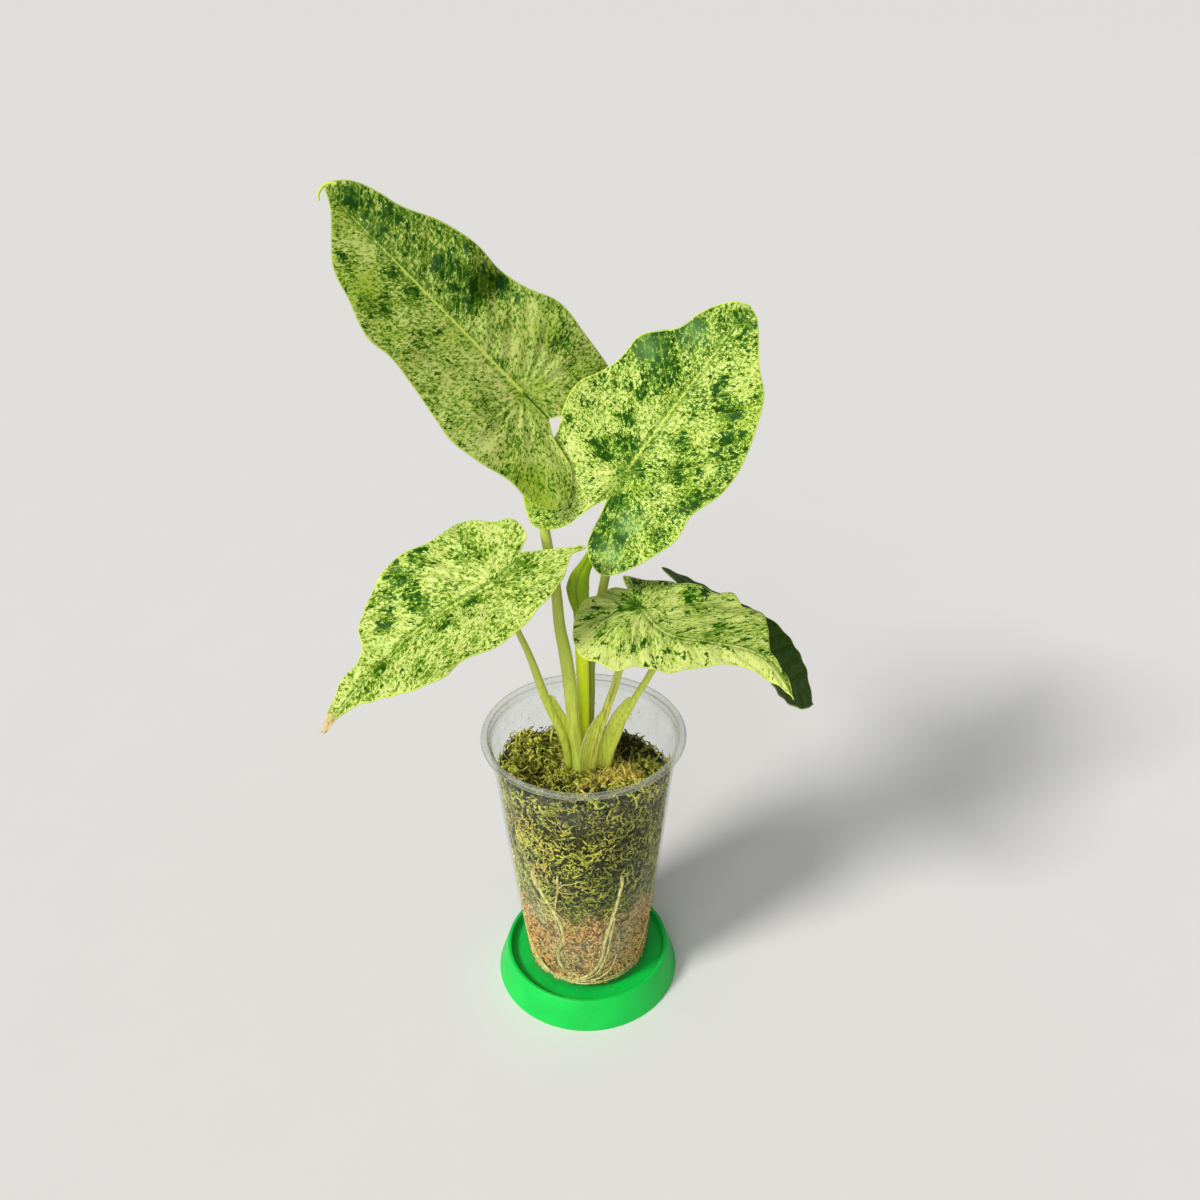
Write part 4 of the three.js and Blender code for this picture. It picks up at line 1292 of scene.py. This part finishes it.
class Blade:
    """Surface of a leaf over its flat blade, by the same rule as its solid."""

    def __init__(self, leaf):
        self.leaf = leaf
        turn, tilt, spin = np.radians(leaf["turn"])
        self.origin = np.array(leaf["junction"], float)
        self.midrib = np.array([
            math.cos(tilt) * math.cos(turn), math.cos(tilt) * math.sin(turn), math.sin(tilt),
        ])
        level = np.array([math.sin(turn), -math.cos(turn), 0])
        up = np.cross(level, self.midrib)
        self.across = level * math.cos(spin) + up * math.sin(spin)
        self.front = up * math.cos(spin) - level * math.sin(spin)

    def height(self, a, t):
        leaf = self.leaf
        total = 0
        for side, mine in ((leaf["right"], t >= 0), (leaf["left"], t < 0)):
            near, far, wave, pitch, phase = side
            slope = lerp(near, far, smooth(a / leaf["length"]))
            folded = slope * (np.hypot(t, 3) - 3)
            waved = wave * np.sin(math.tau * (a / pitch + phase)) * (t / 30) ** 2
            total = total + np.where(mine, folded + waved, 0)
        arch, power = leaf["arch"]
        total = total - arch * np.maximum(a / leaf["length"], 0) ** power
        total = total + soft_marks(leaf.get("dents", []), a, t)
        return total - leaf["droop"] * (np.maximum(-a, 0) / 40) ** 2

    def point(self, a, t, lift=0):
        leaf = self.leaf
        part = np.clip(a / leaf["length"], 0, 1)
        bend = leaf["bow"] * np.sin(math.pi * part) + leaf["sway"] * np.sin(math.tau * part)
        height = self.height(a, t) + lift
        flat = a[..., None] * self.midrib + (t + bend)[..., None] * self.across
        return self.origin + flat + height[..., None] * self.front

    def normal(self, a, t):
        near = 0.2
        ahead = self.point(a + near, t) - self.point(a - near, t)
        aside = self.point(a, t + near) - self.point(a, t - near)
        return unit(np.cross(aside, ahead))

    def outline(self, steps):
        """From the tip down the right side to the notch, and back up the left side"""
        places = np.linspace(0, 1, steps + 1)
        places = 0.5 * places + 0.5 * places ** 1.6
        right, left = (
            Curve([[self.leaf["length"], 0], *self.leaf[edge], self.leaf["notch"]]).spaced(places)
            for edge in ("right_edge", "left_edge")
        )
        return np.vstack([right, left[1:-1][::-1]])

    def veins(self, a, t, spacing):
        """Place across the side veins, counted in veins, and the direction along them"""
        slant, curve, turn_radius, offset = 0.7, 0.008, 25, 0.45
        out = np.abs(t)
        flat = a - curve * t ** 2
        ahead = flat - slant * out
        turn = np.arctan2(out, flat) - math.atan2(1, slant)
        count = np.where(ahead > 0, ahead, -turn_radius * turn) / spacing
        count = count + np.where(t < 0, offset, 0)
        lobe = (a + curve * t ** 2) / (out + 1e-6)
        along = np.where(ahead > 0, slant + 2 * curve * out, lobe)
        return count, unit(columns(along, np.where(t < 0, -1.0, 1.0), 0))


def edge_distance(a, t, outline):
    """Distance from points of the flat blade to its outline"""
    nearest = np.full(a.shape, 1e9)
    for (a0, t0), (a1, t1) in zip(outline, np.roll(outline, -1, axis=0)):
        span = (a1 - a0) ** 2 + (t1 - t0) ** 2 + 1e-12
        part = np.clip(((a - a0) * (a1 - a0) + (t - t0) * (t1 - t0)) / span, 0, 1)
        away = np.hypot(a - a0 - part * (a1 - a0), t - t0 - part * (t1 - t0))
        nearest = np.minimum(nearest, away)
    return nearest


def spots(marks, a, t):
    """Strongest of soft round marks at each point"""
    total = np.zeros(len(a))
    for middle_a, middle_t, reach, strength in marks:
        away = ((a - middle_a) ** 2 + (t - middle_t) ** 2) / reach ** 2
        total = np.maximum(total, strength * np.exp(-away * 0.9))
    return total


def blade_faces(rings, sides, points):
    """Faces of two discs of rings about their first point, and of the rim between them"""
    faces = []
    for side in range(sides):
        after = (side + 1) % sides
        faces.append([0, 1 + after, 1 + side])
        for ring in range(rings - 1):
            here = 1 + ring * sides + side
            there = 1 + ring * sides + after
            faces.append([here, there, there + sides, here + sides])
    faces += [[points + index for index in face[::-1]] for face in faces]
    edge = 1 + (rings - 1) * sides
    for side in range(sides):
        here = edge + side
        there = edge + (side + 1) % sides
        faces.append([here, there, points + there, points + here])
    return faces


def blade_shell(name, leaf, look):
    """Blade with its two faces, its rim, its ribs and the fields that its material reads"""
    steps, rings = 130, 64
    blade = Blade(leaf)
    outline = blade.outline(steps)
    sides = len(outline)
    shares = np.linspace(0, 1, rings + 1)[1:]
    flat = (shares[:, None, None] * outline[None]).reshape(-1, 2)
    a, t = np.vstack([[0, 0], flat]).T
    count, flow = blade.veins(a, t, look.vein_spacing / MM)
    margin = edge_distance(a, t, outline)
    length = leaf["length"]

    inner = smooth(np.hypot(a, t) / 14) * smooth(margin / 5) * smooth(np.abs(t) / 6)
    quilt = -np.cos(math.tau * count) * inner * look.quilting / MM
    phase = around(sides) * 23
    phase = np.concatenate([[0], np.tile(phase + 1.3 * np.sin(phase / 5), rings)])
    ripple = 0.35 * np.sin(phase) * smooth(1 - margin / 6)
    width = lerp(1.5, 0.5, np.clip(a / length, 0, 1))
    cord = 0.3 * np.exp(-(t / (0.5 * width)) ** 2) - 0.35 * np.exp(-(t / (2 * width)) ** 2)
    upper = blade.point(a, t, quilt + ripple + cord * (a > -4))
    rib = np.exp(-(t / width) ** 2) * smooth((a + 6) / 6) * lerp(1, 0.3, smooth(a / length))
    thick = look.thickness / MM * lerp(0.6, 1, smooth(margin / 3)) + look.rib_height / MM * rib
    lower = upper - blade.normal(a, t) * thick[:, None]

    style = leaf["look"]
    seed = sum(leaf["junction"])
    dry = np.clip((a - length + 9) / 6, 0, 1) * (name == "lower_left")
    strip = style["strip"] * smooth(1.3 - margin / 9) * (t > 0)
    half = (t > 0) * (name == "upper_left") * smooth((a - 15) / 30)
    blotch = spots(leaf["blotches"], a, t) - 0.6 * spots(leaf["clearings"], a, t)
    yellow = style["yellow"] + 0.25 * strip - 0.2 * half
    flecks = style["flecks"] + 0.25 * half - 0.2 * strip
    # Painted shade: the blade is darkened towards black, less near the notch and not at all on the pale
    # strip of the right margin
    painted_shade = style["painted_shade"] * (1 - strip) * lerp(0.5, 1, smooth((a + 25) / 40))
    ribbed = style["rib"] * (1 - smooth((a / length - 0.55) / 0.3))
    ribbed = ribbed * (2 * smooth((a + 1) / 2) - 1)
    fields = {
        "flat": columns(a, t, seed),
        "flow": flow * style["stretch"],
        "lines": columns(count, t / width, margin),
        "tones": columns(blotch, style["green"] - 0.25 * strip + 0.15 * half, flecks),
        "extra": columns(0, yellow, dry),
        "marks": columns(ribbed, painted_shade, spots(leaf.get("sheens", []), a, t)),
    }
    fields = {field: np.tile(values, (2, 1)) for field, values in fields.items()}
    fields["extra"][len(a):, 0] = 1
    shell = Shell()
    shell.add(np.vstack([upper, lower]), blade_faces(rings, sides, len(a)), **fields)
    if "thread" in leaf:
        path = Curve(leaf["thread"]).at(np.linspace(0, 1, 25))
        centres = blade.point(path[:, 0], path[:, 1], -0.3)
        shell.add(
            *tube(centres, path[:, 2], 10), flat=[length, 0, seed], flow=[1, 0, 0],
            lines=[0.3, 9, 0], tones=[0, 0.5, 0], extra=[0, 1, dry.max()], marks=[0, 0, 0],
        )
    return shell


def leaf_material(look, name, shaded=0):
    paint = Paint(name)
    *_, flat = paint.fields("flat")
    *_, flow = paint.fields("flow")
    count, rib, margin, _ = paint.fields("lines")
    blotch, green, flecks, _ = paint.fields("tones")
    under, yellow, dry, _ = paint.fields("extra")
    ribbed, painted_shade, sheen, _ = paint.fields("marks")

    def streaked(scale, detail, reach):
        """Noise drawn out along the veins"""
        places = [paint.moved(flat, flow, step * reach) for step in (-1, 0, 1)]
        return sum(paint.noise(place, scale, detail, 0.6) for place in places) / 3

    drift = paint.noise(flat, 0.045, 2)
    clouds = paint.noise(flat, 0.1, 3, 0.6)
    knots = paint.noise(flat, 0.28, 2)
    fine = streaked(1.9, 2, 0.3)
    grain = streaked(0.8, 2, 0.7)
    flecked = streaked(0.66, 3, 0.9)

    ground = paint.mix(paint.between(drift + 0.6 * (yellow - 0.5), 0.3, 0.7), look.cream, look.lime)
    level = 0.5 * grain + 0.5 * fine + 0.2 * (green - 0.5) + 0.2 * (clouds - 0.5) + 0.08 * blotch
    tone = paint.mix(paint.between(level, 0.45, 0.52) * 0.8, ground, look.leaf_green)
    tone = paint.mix(paint.between(level, 0.52, 0.57) * 0.95, tone, look.mid_green)
    side = abs(paint.maths("FRACT", count + 50.5) - 0.5)
    vein = 1 - paint.between(side, 0.012, 0.05)
    thick = 0.12 * (flecks - 0.5) + 0.25 * (clouds - 0.5) + 0.36 * (knots - 0.5) + 0.125 * blotch
    spread = 0.7 * flecked + 0.3 * fine + thick - 0.06 * vein - 0.012
    tone = paint.mix(paint.between(spread, 0.55, 0.575), tone, look.fleck)
    tone = paint.mix(paint.between(spread, 0.585, 0.625), tone, look.dark_green)
    # Painted sheen in bluish patches
    tone = paint.mix(sheen * 0.55, tone, look.painted_sheen)
    pale = (1 - paint.between(margin, 0.2, 0.6)) * 0.9
    cord = (1 - paint.between(abs(rib), 0.2, 0.5)) * paint.maths("MAXIMUM", ribbed, 0)
    seam = (1 - paint.between(abs(rib), 0.12, 0.4)) * paint.maths("MAXIMUM", 0 - ribbed, 0)
    # Painted shade: darker green in the groove beside the midrib
    groove_shade = paint.between(abs(rib), 0.35, 0.8) * (1 - paint.between(abs(rib), 1.0, 2.4))
    tone = paint.mix(groove_shade * (0.65 - 0.4 * abs(ribbed)), tone, look.mid_green)
    tone = paint.mix(seam, tone, look.dark_green)
    vein = vein * 0.36 * paint.between(grain, 0.4, 0.54)
    # Painted shade: the rear leaf is mixed almost wholly to its dark shaded colour
    if shaded:
        tone = paint.mix(shaded, tone, look.shaded)
        pale = pale * 0.55
        cord = cord * 0.5
        vein = vein * 0.3
    tone = paint.mix(vein, tone, look.lime)
    tone = paint.mix(paint.maths("MAXIMUM", pale, cord) * 0.85, tone, look.rib)
    tone = paint.mix(under * 0.6, tone, look.underside if not shaded else look.shaded)
    tone = paint.mix(dry, tone, look.tan)
    # Painted shade, mixed towards black
    tone = paint.mix(painted_shade, tone, (0, 0, 0))
    relief = 0.5 * fine + 0.5 * grain - 0.5 * (1 - paint.between(side, 0.0, 0.06))
    return paint.skin(
        Base_Color=tone,
        Roughness=look.roughness + 0.15 * grain,
        Normal=paint.bump(relief, 0.22, 0.25),
        IOR=1.2,
    )


class ALOCASIA_OT_blades(Operator):
    """Five blades, four variegated and one plain, painted dark green as the shade it lies in"""

    bl_idname = "alocasia.blades"
    bl_label = "Blades"

    def execute(self, context):
        look = settings().leaf
        variegated = leaf_material(look, "variegated_leaf")
        shaded = leaf_material(look, "shaded_leaf", 0.95)
        for name, leaf in LEAVES.items():
            rear = name == "rear"
            shell = blade_shell(name, leaf, look)
            shell.piece(
                f"leaf_{name}",
                "shaded_leaf" if rear else "variegated_leaf",
                [f"blade_{name}"],
                shaded if rear else variegated,
            )
        return {"FINISHED"}


# Stalks

def stalk_material(stalk):
    paint = Paint("stalk_skin")
    height, _, stripe, _ = paint.fields("stalk")
    edge, shade, _, _ = paint.fields("wing")
    place = paint.place()
    streaks = paint.noise(paint.stretched(place, (1.2, 1.2, 0.12)), 0.9, 4, 0.6)
    spots = paint.noise(place, 1.3, 2)
    tone = paint.mix(paint.between(height, *STALK_GREENING), stalk.pale, stalk.green)
    tone = paint.mix(paint.between(streaks, 0.42, 0.62) * 0.6, tone, stalk.green)
    tone = paint.mix(paint.between(spots, 0.55, 0.7) * 0.25, tone, stalk.pale)
    tone = paint.mix(shade, tone, stalk.shade)
    tone = paint.mix(stripe * paint.between(streaks, 0.25, 0.6), tone, stalk.stripe)
    return paint.skin(
        Base_Color=paint.mix(edge * 0.8, tone, stalk.edge),
        Roughness=stalk.roughness + 0.15 * streaks,
        Normal=paint.bump(streaks, 0.15, 0.3),
        Specular_IOR_Level=0.3,
    )


def stalk_path(name):
    """Centres, [radii] and section axes of a stalk"""
    stalk = STALKS[name]
    blade = Blade(LEAVES[name])
    x, y, radius = stalk["foot"]
    end = stalk["stations"][-1][3]
    stations = [
        [x, y, STALK_BASE - 1.3, radius],
        *stalk["stations"],
        [*(blade.origin - 4 * blade.front), end],
        [*(blade.origin - 0.4 * blade.front), end],
    ]
    return path_through(stations, np.linspace(0, 1, (len(stations) - 1) * 8 + 1))


def wing_reach(base, reach, top, heights):
    rise = (heights - STALK_BASE) / (top - STALK_BASE)
    lower = lerp(base, reach, smooth(rise / 0.5))
    upper = reach * np.sqrt(np.clip(1 - ((rise - 0.5) / 0.5) ** 2, 0, 1))
    return np.where(rise < 0.5, lower, upper)


class ALOCASIA_OT_stalks(Operator):
    """Five stalks with the sheath wings at their feet"""

    bl_idname = "alocasia.stalks"
    bl_label = "Stalks"

    def execute(self, context):
        look = settings().stalk
        skin = stalk_material(look)
        for name, stalk in STALKS.items():
            shell = Shell()
            path = stalk_path(name)
            shade = 0.65 if name == "upper_right" else 0
            stripe = 0.75 if name == "lower_right" else 0
            self.stem(shell, path, shade, stripe)
            self.wing(shell, path, shade, stalk["wing"], look.wing_thickness / MM)
            shell.piece(f"stalk_{name}", "petiole", [f"petiole_{name}"], skin)
        return {"FINISHED"}

    def stem(self, shell, path, shade, stripe):
        centres, (radii,), first, second = path
        angles = around(28)
        ring = radii[:, None] * (1 + 0.02 * np.cos(7 * angles))
        points = swept(centres, first, second, ring * np.cos(angles), ring * np.sin(angles))
        heading, width = math.radians(255), 0.35
        stripe = stripe * np.exp(-((angles - heading) / width) ** 2)
        rows = columns(points[..., 2], angles, stripe).reshape(-1, 3)
        faces = rings_to_faces(len(centres), len(angles))
        shell.add(points.reshape(-1, 3), faces, stalk=rows, wing=[0, shade, 0])

    def wing(self, shell, path, shade, wing, thickness):
        centres, (radii,), first, second = path
        side, base, reach, top = wing
        angle = math.radians(side)
        low = centres[:, 2] < top
        centres, radii, first, second = centres[low], radii[low], first[low], second[low]
        parts = np.linspace(0, 1, 9)
        out = math.cos(angle) * first + math.sin(angle) * second
        beside = math.cos(angle) * second - math.sin(angle) * first
        reaches = wing_reach(base, reach, top, centres[:, 2])
        away = radii[:, None] * 0.55 + parts * (reaches + 0.45 * radii)[:, None]
        grid = swept(centres, out, beside, away, 0.16 * reach * parts ** 2)
        points, faces = sheet(grid, thickness * (1 - 0.55 * parts))
        edge = np.tile(smooth((parts - 0.82) / 0.15), 2 * len(centres)) * (reach > 2.5)
        stalk = columns(points[:, 2], 0, 0)
        shell.add(points, faces, stalk=stalk, wing=columns(edge, shade, 0))


# Young leaf

def young_material(stalk):
    paint = Paint("young_leaf_skin")
    _, angle, blade, _ = paint.fields("roll")
    place = paint.place()
    streaks = paint.noise(paint.stretched(place, (1.5, 1.5, 0.15)), 0.9, 4, 0.6)
    spots = paint.noise(place, 1.2, 3)
    # Painted shade along the edge of the rolled flap
    flap_shade = 1 - paint.between(abs(angle - 4.49), 0.04, 0.14)
    leaf = paint.mix(paint.between(streaks, 0.35, 0.7) * 0.4, stalk.young, stalk.shade)
    leaf = paint.mix(paint.between(spots, 0.5, 0.7) * 0.12, leaf, stalk.young_stalk)
    leaf = paint.mix(paint.between(angle, 4.4, 4.56) * 0.3, leaf, stalk.young)
    leaf = paint.mix(flap_shade * 0.7, leaf, stalk.shade)
    stem = paint.mix(paint.between(spots, 0.42, 0.62) * 0.5, stalk.young_stalk, stalk.pale)
    stem = paint.mix(paint.between(streaks, 0.5, 0.7) * 0.3, stem, stalk.young)
    return paint.skin(
        Base_Color=paint.mix(blade, stem, leaf),
        Roughness=0.42,
        Normal=paint.bump(streaks, 0.2, 0.3),
        Specular_IOR_Level=0.2,
    )


class ALOCASIA_OT_young_leaf(Operator):
    """Young leaf, half rolled, on its own stalk"""

    bl_idname = "alocasia.young_leaf"
    bl_label = "Young leaf"

    def execute(self, context):
        centres, (widths, depths), first, second = path_through(
            YOUNG_LEAF, np.linspace(0, 1, 121)
        )
        angles = around(40)
        crease = np.exp(-((angles - YOUNG_CREASE) / 0.16) ** 2)
        section = 1 - 0.35 * smooth((centres[:, 2] - YOUNG_FOOT - 3) / 8)[:, None] * crease
        x = section * widths[:, None] * np.cos(angles)
        y = section * depths[:, None] * np.sin(angles)
        points = swept(centres, first, second, x, y)
        heights = points[..., 2]
        rows = columns(heights, angles, smooth((heights - YOUNG_FOOT) / 9)).reshape(-1, 3)
        shell = Shell()
        faces = rings_to_faces(len(centres), len(angles))
        shell.add(points.reshape(-1, 3), faces, roll=rows)
        skin = young_material(settings().stalk)
        shell.piece("rolled_young_leaf", "young_leaf", ["young_leaf"], skin)
        return {"FINISHED"}


# Stage

class ALOCASIA_OT_stage(Operator):
    """Pale floor, soft lights and the camera"""

    bl_idname = "alocasia.stage"
    bl_label = "Stage"

    def execute(self, context):
        stage = settings().stage
        self.floor(stage)
        self.lights(stage)
        self.camera(stage)
        return {"FINISHED"}

    def floor(self, stage):
        mesh = bpy.data.meshes.new("floor")
        far = FLOOR_REACH
        corners = [[-far, -far, 0], [far, -far, 0], [far, far, 0], [-far, far, 0]]
        mesh.from_pydata(corners, [], [[0, 1, 2, 3]])
        paint = Paint("floor_paper")
        grain = paint.noise(paint.place(), 0.02, 4)
        tone = paint.mix(grain, stage.floor, scaled(stage.floor, 1.03))
        mesh.materials.append(paint.skin(Base_Color=tone, Roughness=0.85))
        floor = put_in_scene("floor", mesh)

    def lights(self, stage):
        world = bpy.data.worlds.new("studio")
        world.use_nodes = True
        background = world.node_tree.nodes["Background"]
        background.inputs["Color"].default_value = (*stage.sky, 1)
        background.inputs["Strength"].default_value = stage.sky_strength
        bpy.context.scene.world = world
        bpy.context.scene.view_settings.view_transform = "Standard"
        for name, strength, softness, colour, place in LIGHTS:
            sun = bpy.data.lights.new(name, "SUN")
            sun.energy = stage.key_strength * strength
            sun.angle = stage.key_softness * softness
            sun.color = colour
            lamp = put_in_scene(name, sun)
            lamp.location = place
            lamp.rotation_mode = "QUATERNION"
            lamp.rotation_quaternion = (-lamp.location).to_track_quat("-Z", "Y")

    def camera(self, stage):
        pitch, roll = math.radians(CAMERA_PITCH), math.radians(CAMERA_ROLL)
        ahead = Vector((0, math.cos(pitch), -math.sin(pitch)))
        down = Vector((0, -math.sin(pitch), -math.cos(pitch)))
        side = Vector((1, 0, 0))
        right = math.cos(roll) * side + math.sin(roll) * down
        up = math.sin(roll) * side - math.cos(roll) * down
        data = bpy.data.cameras.new("photo_camera")
        data.sensor_width = 36
        data.lens = stage.lens
        data.clip_start = 0.01
        camera = put_in_scene("photo_camera", data)
        turn = Matrix((right, up, -ahead)).transposed().to_4x4()
        place = Vector(CAMERA_PLACE) * MM + Vector(cup_axis())
        camera.matrix_world = Matrix.Translation(place) @ turn
        bpy.context.scene.camera = camera


class PlantSettings(PropertyGroup):
    """All settings of the plant"""

    leaf: PointerProperty(type=LeafSettings)
    stalk: PointerProperty(type=StalkSettings)
    pot: PointerProperty(type=PotSettings)
    moss: PointerProperty(type=MossSettings)
    stage: PointerProperty(type=StageSettings)


OPERATORS = (
    ALOCASIA_OT_stand, ALOCASIA_OT_cup, ALOCASIA_OT_moss, ALOCASIA_OT_roots,
    ALOCASIA_OT_blades, ALOCASIA_OT_stalks, ALOCASIA_OT_young_leaf, ALOCASIA_OT_stage,
)


class ALOCASIA_PT_panel(Panel):
    """Operators and settings of the plant"""

    bl_label = "Alocasia"
    bl_idname = "ALOCASIA_PT_panel"
    bl_space_type = "VIEW_3D"
    bl_region_type = "UI"
    bl_category = "Alocasia"

    def draw(self, context):
        layout = self.layout
        for operator in OPERATORS:
            layout.operator(operator.bl_idname)
        for group in ("leaf", "stalk", "pot", "moss", "stage"):
            box = layout.box()
            box.label(text=group.capitalize())
            holder = getattr(context.scene.alocasia, group)
            for name in holder.__annotations__:
                box.prop(holder, name)


CLASSES = (
    LeafSettings, StalkSettings, PotSettings, MossSettings, StageSettings, PlantSettings,
    *OPERATORS, ALOCASIA_PT_panel,
)


def register():
    for each in CLASSES:
        bpy.utils.register_class(each)
    bpy.types.Scene.alocasia = PointerProperty(type=PlantSettings)


def unregister():
    del bpy.types.Scene.alocasia
    for each in reversed(CLASSES):
        bpy.utils.unregister_class(each)


def main():
    register()
    for operator in OPERATORS:
        group, name = operator.bl_idname.split(".")
        getattr(getattr(bpy.ops, group), name)()


if __name__ == "__main__":
    main()
